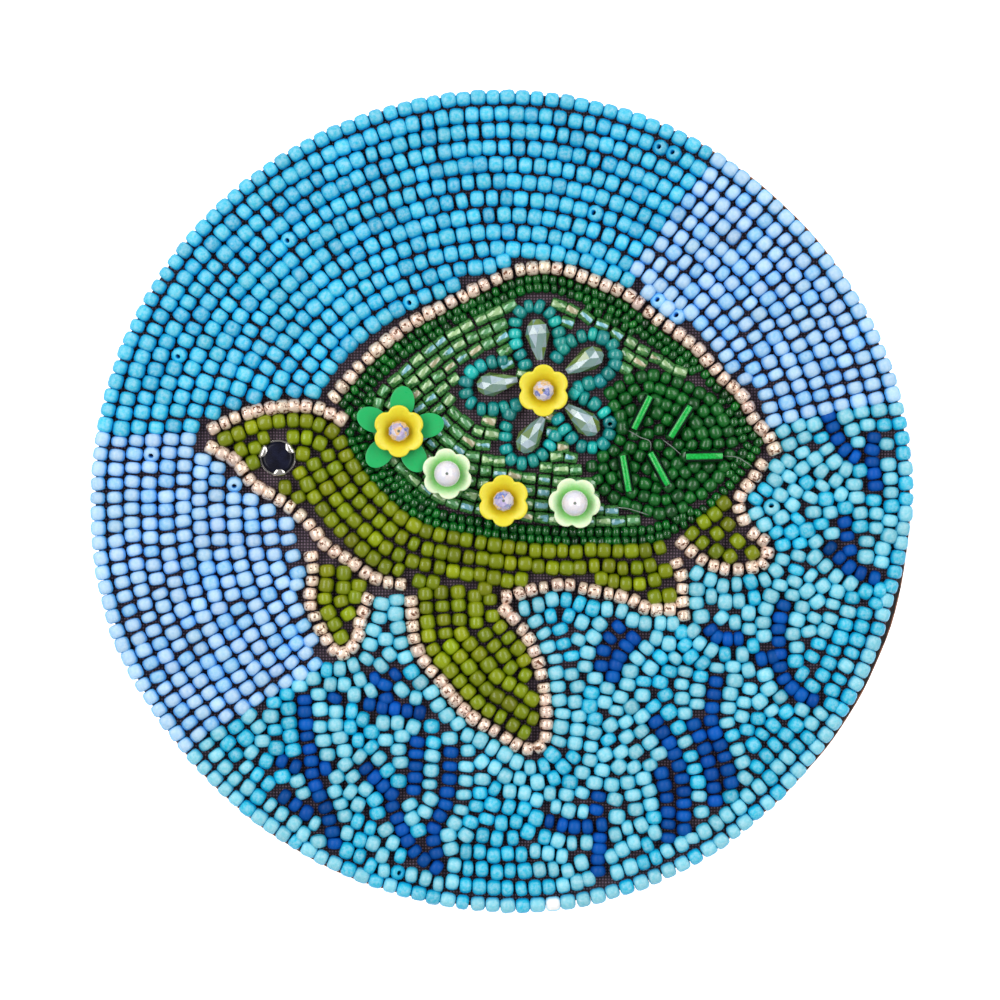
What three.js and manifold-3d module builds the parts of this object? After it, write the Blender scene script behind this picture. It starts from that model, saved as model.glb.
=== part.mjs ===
// A round bead-embroidered coaster with a sea turtle on it. Millimetres, +Z up, lying flat.
// Origin: the middle of the underside. +Y: the top of the picture. -X: the side the turtle's head faces.
import * as THREE from "three";
import { mergeVertices } from "three/addons/utils/BufferGeometryUtils.js";
import Module from "manifold-3d";

const wasm = await Module();
wasm.setup();

// ---- Driving dimensions ----

const COASTER_RADIUS = 50.6; // the backing, and the ring of beads round the edge
const BACKING_CENTRE = [0.2, -0.1]; // the backing shows a little at the right of the beadwork
const BEADWORK_CENTRE = [-0.2, 0.1];
const BACKING_THICKNESS = 1;
const BOARD_THICKNESS = 1.5;
const BOARD_INSET = 0.6; // the board and the fabric stop this far inside the edge beads
const FABRIC_THICKNESS = 0.5;

const EDGE_BEAD = 1.8; // across the beads of the edge row
const SEED_BEAD = 2; // across the ordinary beads, which lie on their sides
const STRING_BEAD = 1.6; // across the gold and dark blue strings, so that their beads have air round them
const SHELL_BEAD = 1.6; // across the tube beads of the shell and the round ones of the leaf
const RIM_BEAD = 1.3; // across the small beads of the shell's rim
const PETAL_BEAD = 1.3; // across the bead loops round the crystal drops
const PETAL_BEAD_HEIGHT = 1.9;

const GAP = 0.3; // between neighbouring pieces of beadwork
const BEAD_END = 0.5; // a string runs this far past the middle of its last bead
const SEAL = 2; // a string's clearance runs this far past its ends, to meet the next string
const KERF_REACH = 1.2; // and a cut between two colours runs this far past its ends
const STRING_STEP = 1.7; // between two sections of a string
const KERF_STEP = 2.6; // between two sections of a cut
const DISC_SIDES = 72;

const FABRIC_TOP = BACKING_THICKNESS + BOARD_THICKNESS + FABRIC_THICKNESS;
const BEADS_TOP = FABRIC_TOP + SEED_BEAD;
const SHELL_TOP = FABRIC_TOP + SHELL_BEAD;

const THREAD_RADIUS = 0.2;
const STITCH_HOLE = 0.5; // radius left free in the beadwork round the thread under a flower

const DROP_LENGTH = 5;
const DROP_RADIUS = 1.5;
const BUGLE_LENGTH = 4.5;
const BUGLE_RADIUS = 0.7;
const BUGLE_BORE = 0.3;

const CUP_RADIUS = 3.2;
const CUP_HEIGHT = 1.4;
const CUP_WALL = 0.5;
const CUP_FLOOR_RADIUS = 1.2;
const CUP_LOBES = 6;
const FLOWER_HOLE = 0.4;
const FLOWER_CLEARANCE = 0.2; // under a flower, so that it turns about its stitch
const STAR_RADIUS = 5.6;
const STAR_PETALS = 5;
const STAR_THICKNESS = 0.4;
const STAR_TURN = (84 * Math.PI) / 180;
const CRYSTAL_RADIUS = 1.3;
const CRYSTAL_HEIGHT = 1.8;
const PEARL_RADIUS = 1.6;

const EYE_RADIUS = 2;
const SETTING_RADIUS = 2.4;
const SETTING_WALL = 0.25;

// ---- Colours ----

const finish = (colour, roughness, metalness = 0) => ({ colour, roughness, metalness });
const FINISHES = {
  backing: finish("#1d1613", 0.9),
  board: finish("#8a7a63", 0.95),
  fabric: finish("#4a3f4a", 0.95),
  turquoise: finish("#3fb4d6", 0.4),
  haze: finish("#a3c5e6", 0.4),
  aqua: finish("#72cfd9", 0.4),
  royal: finish("#0b5cab", 0.35),
  gold: finish("#d9b896", 0.25, 1),
  olive: finish("#737d18", 0.35),
  rim: finish("#07602a", 0.15),
  shell: finish("#4d8f5e", 0.15),
  leaf: finish("#0a5f2c", 0.2),
  teal: finish("#109c96", 0.25),
  crystal: finish("#a9cdb4", 0.03),
  yellow: finish("#cdc63c", 0.45),
  pale: finish("#a8dba0", 0.4),
  green: finish("#12b064", 0.45),
  aurora: finish("#d9c6dc", 0.05),
  pearl: finish("#dcdde4", 0.25),
  bugle: finish("#0bb04a", 0.12),
  eye: finish("#14172b", 0.1),
  setting: finish("#b9b4ab", 0.2, 1),
  thread: finish("#c9cfc9", 0.3),
};

// ---- The picture: routes through the middles of the beads ----

const GOLD_STRINGS = {
  gold_string_shell: [
    [-20.4, 12.9], [-17.7, 16.1], [-13.9, 19.7], [-9.8, 22.4], [-5.5, 24.7], [-1.5, 26.7],
    [2.7, 28.4], [7, 28.4], [11.6, 26.8], [15.6, 25.1], [19.9, 21.6], [23.9, 18.7],
    [27.1, 15], [29.8, 12.5], [31.2, 9.5], [33.2, 7.5], [33.5, 6.4],
  ],
  gold_string_tail: [[31.9, 4], [30.6, 2.1], [29, -0.4], [29.6, -2.2]],
  gold_string_rear_flipper: [
    [31.2, -4.4], [32.6, -5.3], [32.6, -7.7], [31, -8.4], [27.1, -8.6], [24.5, -7.5], [22.4, -5.7],
  ],
  gold_string_rump: [[21.6, -8.1], [22.3, -10.3], [22.2, -12.6], [22.4, -14]],
  gold_string_belly: [
    [20.5, -13.6], [17.8, -13.5], [15.2, -12.1], [11.5, -11.4], [7.5, -10.4], [4.4, -11], [0.9, -11.9],
  ],
  gold_string_front_flipper: [
    [0.6, -13.8], [2.7, -16.2], [4.3, -19.3], [5.3, -24], [5.5, -28], [4.9, -30.5], [2.8, -30.8],
    [-0.5, -28.7], [-3.7, -26.9], [-7.5, -22.5], [-10.4, -18.8], [-11, -15.4], [-11.2, -12.9],
  ],
  gold_string_throat: [
    [-12.8, -10.4], [-15.7, -9.8], [-18.7, -7.7], [-21.3, -6], [-24.4, -2.4], [-27.9, 0.3],
    [-31, 2.2], [-32.8, 4.7], [-35.5, 6.3],
  ],
  gold_string_head: [[-35.3, 8.8], [-32.8, 10], [-28.3, 11.3], [-22.9, 11.3], [-20.2, 10]],
  gold_string_far_flipper: [
    [-23.5, -7.3], [-23.3, -10], [-23.7, -12.8], [-22, -16.6], [-20.7, -18.9],
    [-19.3, -19.3], [-18, -17.6], [-17.3, -14.6], [-16.6, -12.7],
  ],
};

// Dark blue strings in the water.
const WAVE_STRINGS = {
  wave_string_left: [
    [-24.3, -24.6], [-24.2, -27.6], [-23.6, -31.1], [-23.3, -34.3], [-22, -37.4], [-21, -40], [-20.6, -42.4],
  ],
  wave_string_right: [[26.4, -22.5], [25.9, -25.5], [25.8, -27.8], [26.9, -30.4], [28.3, -35]],
  wave_string_far_right: [
    [34.7, -13.1], [34, -15.8], [34.2, -18.6], [34.4, -21.6], [36.6, -23.9], [38.4, -24.8],
  ],
};

// Where the shell's rim meets the olive beads of the body, from the neck to the tail.
const SHELL_EDGE = [
  [-19.4, 7.8], [-17.2, 3.8], [-14.2, 0.4], [-9.8, -2.9], [-3.5, -4.3], [4.1, -5.4], [12.8, -5.6],
  [19.6, -5.1], [24.1, -2.4], [28.2, 1.2], [31.4, 5.4],
];
// The inside of the rim, over the top from the neck to the tail and back along the bottom.
const RIM_INSIDE_TOP = [
  [-16.6, 9.7], [-15.6, 13.4], [-12.5, 16.4], [-7.6, 20.4], [-1.5, 23.5], [4.6, 25.3], [10.7, 23.2],
  [18.9, 18.4], [24.7, 14.4], [28.5, 9.2], [29.2, 6.2],
];
const RIM_INSIDE_BOTTOM = [
  [29.2, 6.2], [26.6, 1.5], [19.4, -2.9], [8.4, -3.5], [0.3, -2.5], [-7, -1.1], [-12.5, 2.8], [-15.5, 6.4],
  [-16.6, 9.7],
];
// The side of the leaf that the tube beads run along; the rim closes the other.
const LEAF_EDGE = [
  [26.2, 13.1], [23.2, 14.4], [18.7, 16.2], [14.4, 14.7], [11.6, 12.4], [10.4, 6.2],
  [10.9, 3], [12.6, 0.1], [15.3, -1.4], [21, -3],
];
// Where one colour of the background meets the next.
const COLOUR_EDGES = [
  [[27.4, 43.6], [23.5, 38.5], [20.8, 35.4], [18.9, 31.7], [15.9, 29.1], [16.2, 26]],
  [[33.4, 8.9], [41, 10.6], [50, 12.4]],
  [[-51, 7.8], [-36.5, 8.3]],
  [[-20, -19.4], [-26, -23.2], [-33.3, -27.4], [-36.9, -29.5], [-39, -34]],
];
// Where the rows of the body stop and those of the front flipper begin.
const SHOULDER = [[-11.6, -11.4], [-5.5, -10.6], [0.6, -12.6]];

// The bead loops round the crystal drops, and each drop's inner and outer end.
const PETALS = {
  top: {
    loop: [[2.4, 17.6], [1.6, 20], [1.9, 22.9], [4.4, 24], [6.3, 22.4], [7, 20.2]],
    drop: [[4.7, 17.1], [4.2, 22.1]],
  },
  upper_right: {
    loop: [[7.4, 18.2], [9.2, 19.9], [11.4, 20.3], [13.6, 19.1], [14.1, 17], [12.6, 14.9], [10.5, 14.1]],
    drop: [[8, 15.7], [12.3, 18.1]],
  },
  lower_right: {
    loop: [[9.9, 12.6], [12.5, 10.9], [13.5, 8.7], [12.2, 6.5], [9.9, 6.4], [8.1, 7.9], [7.5, 9]],
    drop: [[8, 11.4], [11.7, 8.2]],
  },
  bottom: {
    loop: [[6, 7], [4.9, 5.3], [2.9, 4.3], [0.9, 5.1], [0.3, 7.2], [0.7, 9.3]],
    drop: [[5, 9.9], [2.4, 6]],
  },
  left: {
    loop: [[0.6, 11.4], [-2, 11], [-4.3, 12.2], [-4.5, 14.3], [-3, 16.4], [-0.8, 16.9]],
    drop: [[1.9, 14.7], [-3, 13.8]],
  },
};
const BUGLES = {
  upper_left: [[16.2, 8.6], [18.2, 12.6]],
  upper_right: [[20.7, 7.6], [23.1, 11.4]],
  right: [[22.6, 5.2], [27.1, 5.3]],
  lower_left: [[14.8, 5.4], [15.6, 0.9]],
  lower_right: [[18.2, 5.7], [20.4, 1.7]],
};
const FLOWERS = {
  shoulder: [-12.6, 8.3],
  left: [-6.7, 3.1],
  middle: [0.2, -0.2],
  right: [8.9, -0.5],
  petals: [5.1, 13.3],
};
const EYE = [-27.6, 5.1];
const FAR_AWAY = 70; // past the coaster's edge

// ---- Solids ----

function solidOf(geometry) {
  geometry.deleteAttribute("normal");
  geometry.deleteAttribute("uv");
  const merged = mergeVertices(geometry, 1e-4);
  return new wasm.Manifold(
    new wasm.Mesh({
      numProp: 3,
      vertProperties: merged.attributes.position.array,
      triVerts: new Uint32Array(merged.index.array),
    }),
  );
}

function geometryOf(solid) {
  const mesh = solid.getMesh();
  const geometry = new THREE.BufferGeometry();
  geometry.setAttribute("position", new THREE.BufferAttribute(mesh.vertProperties, 3));
  geometry.setIndex(new THREE.BufferAttribute(mesh.triVerts, 1));
  const flat = geometry.toNonIndexed();
  flat.computeVertexNormals();
  return flat;
}

const points = (pairs) => pairs.map(([x, y]) => new THREE.Vector2(x, y));
const along = (pairs) => new THREE.CatmullRomCurve3(pairs.map(([x, y]) => new THREE.Vector3(x, y, 0)));
const ring = (radius, sides, [x, y] = [0, 0]) =>
  Array.from({ length: sides }, (_, i) => {
    const turn = (2 * Math.PI * i) / sides;
    return new THREE.Vector2(x + radius * Math.cos(turn), y + radius * Math.sin(turn));
  });

// An outline in plan, made solid between two heights.
function plate(outline, low, high, hole) {
  const shape = new THREE.Shape(outline);
  if (hole) shape.holes.push(new THREE.Path(hole));
  const geometry = new THREE.ExtrudeGeometry(shape, { depth: high - low, bevelEnabled: false });
  return geometry.translate(0, 0, low);
}

// Evenly spaced points along a route, with each end carried on straight by `reach`.
function walk(pairs, reach, step) {
  const curve = along(pairs);
  const count = Math.ceil(curve.getLength() / step);
  const line = curve.getSpacedPoints(count).map((p) => new THREE.Vector2(p.x, p.y));
  if (reach) {
    const head = line[0].clone().sub(line[1]).setLength(reach);
    const tail = line[count].clone().sub(line[count - 1]).setLength(reach);
    line[0].add(head);
    line[count].add(tail);
  }
  return line;
}

// A bar of even width along a route. Its outline goes up one side of the route and back down the other.
function barOutline(pairs, width, reach, step) {
  const line = walk(pairs, reach, step);
  const side = (turn) =>
    line.map((p, i) => {
      const before = line[Math.max(i - 1, 0)];
      const after = line[Math.min(i + 1, line.length - 1)];
      const across = after.clone().sub(before).rotateAround(new THREE.Vector2(), turn);
      return p.clone().add(across.setLength(width / 2));
    });
  return [...side(-Math.PI / 2), ...side(Math.PI / 2).reverse()];
}

// The room that a string needs in the layer around it, and a thin cut between two colours.
const room = (pairs, width, reach) =>
  solidOf(plate(barOutline(pairs, width + 2 * GAP, reach, STRING_STEP), -FAR_AWAY, FAR_AWAY));
const kerf = (pairs) => solidOf(plate(barOutline(pairs, GAP, KERF_REACH, KERF_STEP), -FAR_AWAY, FAR_AWAY));

const cut = (solid, cutters) => solid.subtract(wasm.Manifold.union(cutters));
const shaft = (radius, centre) => solidOf(plate(ring(radius, 12, centre), -FAR_AWAY, FAR_AWAY));

// The body of a cut layer that holds the point.
function bodyAt(solid, [x, y]) {
  const probe = solidOf(new THREE.BoxGeometry(0.02, 0.02, 2 * FAR_AWAY).translate(x, y, 0));
  const found = solid.decompose().find((body) => body.intersect(probe).volume() > 0);
  if (!found) throw new Error(`no beadwork at ${x}, ${y}`);
  return found;
}

// A turned piece: a closed profile of [radius, height] pairs.
function turned(profile, sides) {
  return new THREE.LatheGeometry(points([...profile, profile[0]]), sides).rotateX(Math.PI / 2);
}

const coaster = new THREE.Group();

function add(name, geometry, finishName, place = [0, 0, 0], turn = 0) {
  const { colour, roughness, metalness } = FINISHES[finishName];
  const material = new THREE.MeshStandardMaterial({ color: colour, roughness, metalness });
  const mesh = new THREE.Mesh(geometry, material);
  mesh.name = name;
  mesh.position.set(...place);
  mesh.rotation.z = turn;
  coaster.add(mesh);
}

// ---- Base: backing, board and fabric ----

function base() {
  const inner = COASTER_RADIUS - BOARD_INSET;
  const boardTop = BACKING_THICKNESS + BOARD_THICKNESS;
  add("backing", plate(ring(COASTER_RADIUS, DISC_SIDES, BACKING_CENTRE), 0, BACKING_THICKNESS), "backing");
  const disc = () => ring(inner, DISC_SIDES, BEADWORK_CENTRE);
  add("stiffener_board", plate(disc(), BACKING_THICKNESS, boardTop), "board");
  add("ground_fabric", plate(disc(), boardTop, FABRIC_TOP), "fabric");
}

function edgeRow() {
  const outside = ring(COASTER_RADIUS, DISC_SIDES, BEADWORK_CENTRE);
  const inside = ring(COASTER_RADIUS - EDGE_BEAD, DISC_SIDES, BEADWORK_CENTRE);
  add("edge_bead_row", plate(outside, FABRIC_TOP, BEADS_TOP, inside), "turquoise");
}

// ---- Beadwork fields, cut from one layer by the strings between them ----

function fields() {
  const fieldRadius = COASTER_RADIUS - EDGE_BEAD - GAP;
  const layer = solidOf(plate(ring(fieldRadius, DISC_SIDES, BEADWORK_CENTRE), FABRIC_TOP, BEADS_TOP));
  const goldRoom = Object.values(GOLD_STRINGS).map((route) => room(route, STRING_BEAD, SEAL));
  const waveRoom = Object.values(WAVE_STRINGS).map((route) => room(route, STRING_BEAD, BEAD_END + GAP));
  const petalRoom = Object.values(PETALS).flatMap(({ loop }) => [
    room(loop, PETAL_BEAD, BEAD_END + GAP),
    solidOf(plate([...walk(loop, 0, STRING_STEP), ...points([FLOWERS.petals])], -FAR_AWAY, FAR_AWAY)),
  ]);
  const stitchRoom = Object.values(FLOWERS).map((centre) => shaft(STITCH_HOLE, centre));
  const shellKerfs = [kerf(RIM_INSIDE_TOP), kerf(RIM_INSIDE_BOTTOM), kerf(LEAF_EDGE), ...petalRoom];
  const picture = cut(layer, [
    ...goldRoom,
    ...COLOUR_EDGES.map(kerf),
    kerf(SHELL_EDGE),
    kerf(SHOULDER),
    shaft(SETTING_RADIUS + GAP, EYE),
    ...waveRoom,
    ...stitchRoom,
  ]);
  const shell = bodyAt(picture, [-9, 12]);
  const lowered = (solid, height) =>
    solid.intersect(solidOf(plate(ring(FAR_AWAY, 8), 0, FABRIC_TOP + height)));
  const parted = cut(shell, shellKerfs);
  const outer = {
    sky_beads: [[0, 40], "turquoise"],
    haze_beads_right: [[36, 20], "haze"],
    haze_beads_left: [[-40, -5], "haze"],
    water_beads: [[0, -40], "aqua"],
    body_beads: [[-15, -5], "olive"],
    front_flipper_beads: [[0, -20], "olive"],
    far_flipper_beads: [[-20.5, -13], "olive"],
    rear_flipper_beads: [[29, -6], "olive"],
  };
  const inner = {
    shell_rim_beads: [[5, 26.4], "rim", RIM_BEAD],
    shell_tube_beads: [[-9, 12], "shell", SHELL_BEAD],
    leaf_beads: [[20, 5], "leaf", SHELL_BEAD],
  };
  for (const [name, [seed, colour]] of Object.entries(outer))
    add(name, geometryOf(bodyAt(picture, seed)), colour);
  for (const [name, [seed, colour, height]] of Object.entries(inner))
    add(name, geometryOf(lowered(bodyAt(parted, seed), height)), colour);
}

function strings() {
  const bar = (route) => plate(barOutline(route, STRING_BEAD, BEAD_END, STRING_STEP), FABRIC_TOP, BEADS_TOP);
  for (const [name, route] of Object.entries(GOLD_STRINGS)) add(name, bar(route), "gold");
  for (const [name, route] of Object.entries(WAVE_STRINGS)) add(name, bar(route), "royal");
  for (const [place, { loop }] of Object.entries(PETALS)) {
    const outline = barOutline(loop, PETAL_BEAD, BEAD_END, STRING_STEP);
    add(`petal_loop_${place}`, plate(outline, FABRIC_TOP, FABRIC_TOP + PETAL_BEAD_HEIGHT), "teal");
  }
}

// ---- Crystal drops and bugle beads, lying on their sides ----

const DROP_PROFILE = [
  [0.3, -0.5], [0.62, -0.42], [1, 0.1], [0.86, 0.36], [0.4, 0.5],
]; // radius and length of a drop, as parts of its full size, from the narrow end
const DROP_SIDES = 8;

function lay(geometry, [from, to], height) {
  const run = new THREE.Vector2(to[0] - from[0], to[1] - from[1]);
  geometry.rotateX(Math.PI / 2);
  geometry.rotateZ(run.angle() - Math.PI / 2 + Math.PI);
  return geometry.translate((from[0] + to[0]) / 2, (from[1] + to[1]) / 2, height);
}

function drops() {
  const profile = [[0, -0.5], ...DROP_PROFILE, [0, 0.5]].map(([r, l]) => [r * DROP_RADIUS, l * DROP_LENGTH]);
  for (const [place, { drop }] of Object.entries(PETALS)) {
    const geometry = new THREE.LatheGeometry(points(profile), DROP_SIDES).rotateX(Math.PI / 2);
    add(`crystal_drop_${place}`, lay(geometry, drop, FABRIC_TOP + DROP_RADIUS), "crystal");
  }
}

function bugles() {
  for (const [place, ends] of Object.entries(BUGLES)) {
    const half = BUGLE_LENGTH / 2;
    const tube = plate(ring(BUGLE_RADIUS, 8), -half, half, ring(BUGLE_BORE, 8));
    add(`bugle_bead_${place}`, lay(tube, ends, SHELL_TOP + BUGLE_RADIUS), "bugle");
  }
}

// ---- Flowers on their stitches, each held down by a bead ----

const CUP_SIDES = 24;
const RIM_ROUND = 0.15;
const LOBE_DEPTH = 0.18; // how far the rim dips between two lobes, as part of its radius

// A flared cup with a hole in its floor. It stands on z = 0.
function cup() {
  const rim = CUP_RADIUS - RIM_ROUND;
  const profile = [
    [FLOWER_HOLE, 0], [CUP_FLOOR_RADIUS, 0], [CUP_RADIUS, CUP_HEIGHT - RIM_ROUND], [rim, CUP_HEIGHT],
    [CUP_FLOOR_RADIUS, CUP_WALL], [FLOWER_HOLE, CUP_WALL],
  ];
  const geometry = turned(profile, CUP_SIDES);
  const place = geometry.attributes.position;
  for (let i = 0; i < place.count; i++) {
    const r = Math.hypot(place.getX(i), place.getY(i));
    const turn = Math.atan2(place.getY(i), place.getX(i));
    const flare = Math.max(0, (r - CUP_FLOOR_RADIUS) / (CUP_RADIUS - CUP_FLOOR_RADIUS));
    const dip = 1 - LOBE_DEPTH * flare * (0.5 - 0.5 * Math.cos(CUP_LOBES * turn));
    place.setXY(i, place.getX(i) * dip, place.getY(i) * dip);
  }
  return geometry;
}

// A flat flower of round-ended petals.
function star() {
  const waist = 0.3 * STAR_RADIUS;
  const half = 0.24 * STAR_RADIUS;
  const outline = [];
  for (let petal = 0; petal < STAR_PETALS; petal++) {
    const turn = (2 * Math.PI * petal) / STAR_PETALS;
    const place = (x, y) => outline.push(new THREE.Vector2(x, y).rotateAround(new THREE.Vector2(), turn));
    place(waist, -0.5 * half);
    for (let step = -3; step <= 3; step++) {
      const bend = (step * Math.PI) / 6;
      place(STAR_RADIUS - half + half * Math.cos(bend), half * Math.sin(bend));
    }
    place(waist, 0.5 * half);
  }
  return plate(outline, 0, STAR_THICKNESS, ring(FLOWER_HOLE, 8));
}

const crystalBead = () =>
  turned(
    [
      [FLOWER_HOLE, 0], [0.6 * CRYSTAL_RADIUS, 0], [CRYSTAL_RADIUS, 0.5 * CRYSTAL_HEIGHT],
      [0.6 * CRYSTAL_RADIUS, CRYSTAL_HEIGHT], [FLOWER_HOLE, CRYSTAL_HEIGHT],
    ],
    8,
  );

function pearlBead() {
  const steps = 6;
  const edge = Math.asin(FLOWER_HOLE / PEARL_RADIUS);
  const profile = Array.from({ length: steps + 1 }, (_, i) => {
    const turn = edge + ((Math.PI - 2 * edge) * i) / steps;
    return [PEARL_RADIUS * Math.sin(turn), PEARL_RADIUS * (1 - Math.cos(turn))];
  });
  return turned(profile, 12);
}

function flower(name, centre, { low, head, colour, turn, bead, beadName, beadColour, beadHeight }) {
  const floor = low + CUP_WALL;
  const top = floor + beadHeight + 0.1;
  add(name, head, colour, [...centre, low], turn);
  add(beadName, bead, beadColour, [...centre, floor + 0.1]);
  add(`stitch_${name}`, plate(ring(THREAD_RADIUS, 6), FABRIC_TOP, top), "thread", [...centre, 0]);
}

function flowers() {
  const low = BEADS_TOP + FLOWER_CLEARANCE;
  const stacked = low + STAR_THICKNESS + FLOWER_CLEARANCE;
  const crystal = { bead: crystalBead(), beadColour: "aurora", beadHeight: CRYSTAL_HEIGHT };
  const pearl = { bead: pearlBead(), beadColour: "pearl", beadHeight: 2 * PEARL_RADIUS };
  const yellow = { head: cup(), colour: "yellow", turn: Math.PI / 6, ...crystal };
  const pale = { head: cup(), colour: "pale", ...pearl };
  add("star_flower", star(), "green", [...FLOWERS.shoulder, low], STAR_TURN);
  const upper = { ...yellow, low: stacked, beadName: "crystal_bead_shoulder" };
  flower("yellow_flower_shoulder", FLOWERS.shoulder, upper);
  flower("yellow_flower_middle", FLOWERS.middle, { ...yellow, low, beadName: "crystal_bead_middle" });
  flower("yellow_flower_petals", FLOWERS.petals, { ...yellow, low, beadName: "crystal_bead_petals" });
  flower("pale_flower_left", FLOWERS.left, { ...pale, low, turn: 0.2, beadName: "pearl_bead_left" });
  flower("pale_flower_right", FLOWERS.right, { ...pale, low, turn: 0.5, beadName: "pearl_bead_right" });
}

// ---- Eye: a flat stone in a claw setting ----

const CLAWS = 3;
const CLAW_WIDTH = 1.3;
const CLAW_TURN = 37;
const STONE_FLOOR = FABRIC_TOP + 0.4;
const STONE_HEIGHT = 1.4;

function eye() {
  const stone = turned(
    [
      [0, 0], [0.8 * EYE_RADIUS, 0], [EYE_RADIUS, 0.3 * STONE_HEIGHT], [EYE_RADIUS, 0.6 * STONE_HEIGHT],
      [0.7 * EYE_RADIUS, STONE_HEIGHT], [0, STONE_HEIGHT],
    ],
    16,
  );
  const wallTop = FABRIC_TOP + 1.4;
  const clawTop = STONE_FLOOR + STONE_HEIGHT + 0.3;
  const inside = SETTING_RADIUS - SETTING_WALL;
  const dish = solidOf(plate(ring(SETTING_RADIUS, 24), FABRIC_TOP, wallTop));
  const well = solidOf(plate(ring(inside, 24), FABRIC_TOP + 0.3, wallTop + 1));
  const claws = Array.from({ length: CLAWS }, (_, i) => {
    const post = new THREE.BoxGeometry(SETTING_WALL, CLAW_WIDTH, clawTop - FABRIC_TOP);
    post.translate(inside + SETTING_WALL / 2, 0, (clawTop + FABRIC_TOP) / 2);
    const tip = new THREE.BoxGeometry(0.9, CLAW_WIDTH, 0.2).translate(inside - 0.2, 0, clawTop - 0.1);
    return solidOf(post).add(solidOf(tip)).rotate([0, 0, CLAW_TURN + (360 * i) / CLAWS]);
  });
  const setting = wasm.Manifold.union([dish.subtract(well), ...claws]);
  add("eye_claw_setting", geometryOf(setting), "setting", [...EYE, 0]);
  add("eye_stone", stone, "eye", [...EYE, STONE_FLOOR]);
}

base();
edgeRow();
fields();
strings();
drops();
bugles();
flowers();
eye();

export default coaster;
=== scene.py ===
"""Sea turtle coaster: the beadwork, crystals and flowers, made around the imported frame. Metres, +Z up."""

import math

import bmesh
import bpy
import numpy as np
from bpy.props import FloatProperty, FloatVectorProperty, PointerProperty
from mathutils import Matrix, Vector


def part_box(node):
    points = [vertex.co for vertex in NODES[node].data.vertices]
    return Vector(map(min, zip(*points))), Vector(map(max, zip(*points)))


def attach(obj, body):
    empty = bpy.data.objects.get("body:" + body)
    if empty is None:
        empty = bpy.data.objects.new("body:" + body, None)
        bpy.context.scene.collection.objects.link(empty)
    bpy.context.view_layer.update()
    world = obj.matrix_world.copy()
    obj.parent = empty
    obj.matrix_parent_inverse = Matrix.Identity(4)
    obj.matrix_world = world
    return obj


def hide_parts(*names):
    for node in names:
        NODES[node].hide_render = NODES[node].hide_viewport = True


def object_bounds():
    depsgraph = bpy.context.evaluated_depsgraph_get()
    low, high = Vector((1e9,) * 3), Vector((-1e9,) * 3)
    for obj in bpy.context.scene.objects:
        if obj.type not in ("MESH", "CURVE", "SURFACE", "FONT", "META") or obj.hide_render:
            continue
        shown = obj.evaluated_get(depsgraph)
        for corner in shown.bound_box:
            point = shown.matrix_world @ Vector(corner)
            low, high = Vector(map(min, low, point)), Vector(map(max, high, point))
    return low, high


bl_info = {
    "name": "Sea Turtle Coaster",
    "version": (1, 0, 0),
    "blender": (4, 5, 0),
    "location": "3D View > Sidebar > Coaster",
    "description": "Bead-embroidered round coaster with a sea turtle",
    "category": "Object",
}

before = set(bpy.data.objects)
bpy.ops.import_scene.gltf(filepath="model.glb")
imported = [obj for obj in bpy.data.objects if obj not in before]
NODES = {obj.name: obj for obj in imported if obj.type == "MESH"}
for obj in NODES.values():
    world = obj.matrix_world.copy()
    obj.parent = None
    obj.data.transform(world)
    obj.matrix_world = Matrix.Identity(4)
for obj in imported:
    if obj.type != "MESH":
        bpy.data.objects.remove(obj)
CAD_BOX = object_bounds()
MM = 0.001
SEED = 11  # of every random draw

BODY = "coaster"
PETALS = ("top", "upper_right", "lower_right", "bottom", "left")


def srgb(red, green, blue):
    """A colour of 0 to 255 as Blender's linear values."""
    return tuple(((c / 255 + 0.055) / 1.055) ** 2.4 if c > 10 else c / 3295 for c in (red, green, blue))


# ---- Settings ----


def length(name, description, millimetres):
    return FloatProperty(
        name=name, description=description, default=millimetres * MM, min=0.0, unit="LENGTH", precision=5
    )


def colour(name, description, *rgb):
    return FloatVectorProperty(
        name=name, description=description, default=srgb(*rgb), size=3, min=0.0, max=1.0, subtype="COLOR"
    )


class BeadSizes(bpy.types.PropertyGroup):
    seed_width: length("Seed bead width", "Across an ordinary bead", 2.06)
    seed_length: length("Seed bead length", "Along the thread", 1.56)
    seed_bore: length("Seed bead bore", "Radius of the hole", 0.38)
    seed_step: length("Seed bead step", "From bead to bead along the thread", 1.68)
    sky_length: length("Sky bead length", "Along the thread", 1.74)
    sky_step: length("Sky bead step", "From bead to bead along the thread", 1.83)
    ring_pitch: length("Ring pitch", "From one ring of the background to the next", 2.1)
    row_pitch: length("Row pitch", "From one row of the water or the turtle to the next", 2.03)
    gold_length: length("Gold bead length", "Along the thread", 1.4)
    gold_step: length("Gold bead step", "From bead to bead along the thread", 1.56)
    rim_width: length("Rim bead width", "Across the small beads of the shell's rim", 1.4)
    rim_step: length("Rim bead step", "From bead to bead along the thread", 1.02)
    tube_length: length("Tube bead length", "Along the thread", 1.72)
    tube_step: length("Tube bead step", "From bead to bead along the thread", 1.82)
    tube_width: length("Tube bead width", "Across the tube beads of the shell", 1.5)
    tube_pitch: length("Tube row pitch", "From one row of tube beads to the next", 1.56)
    leaf_width: length("Leaf bead width", "Across the round beads of the leaf", 1.66)
    petal_step: length("Petal bead step", "From bead to bead round a crystal drop", 1.42)


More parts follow.
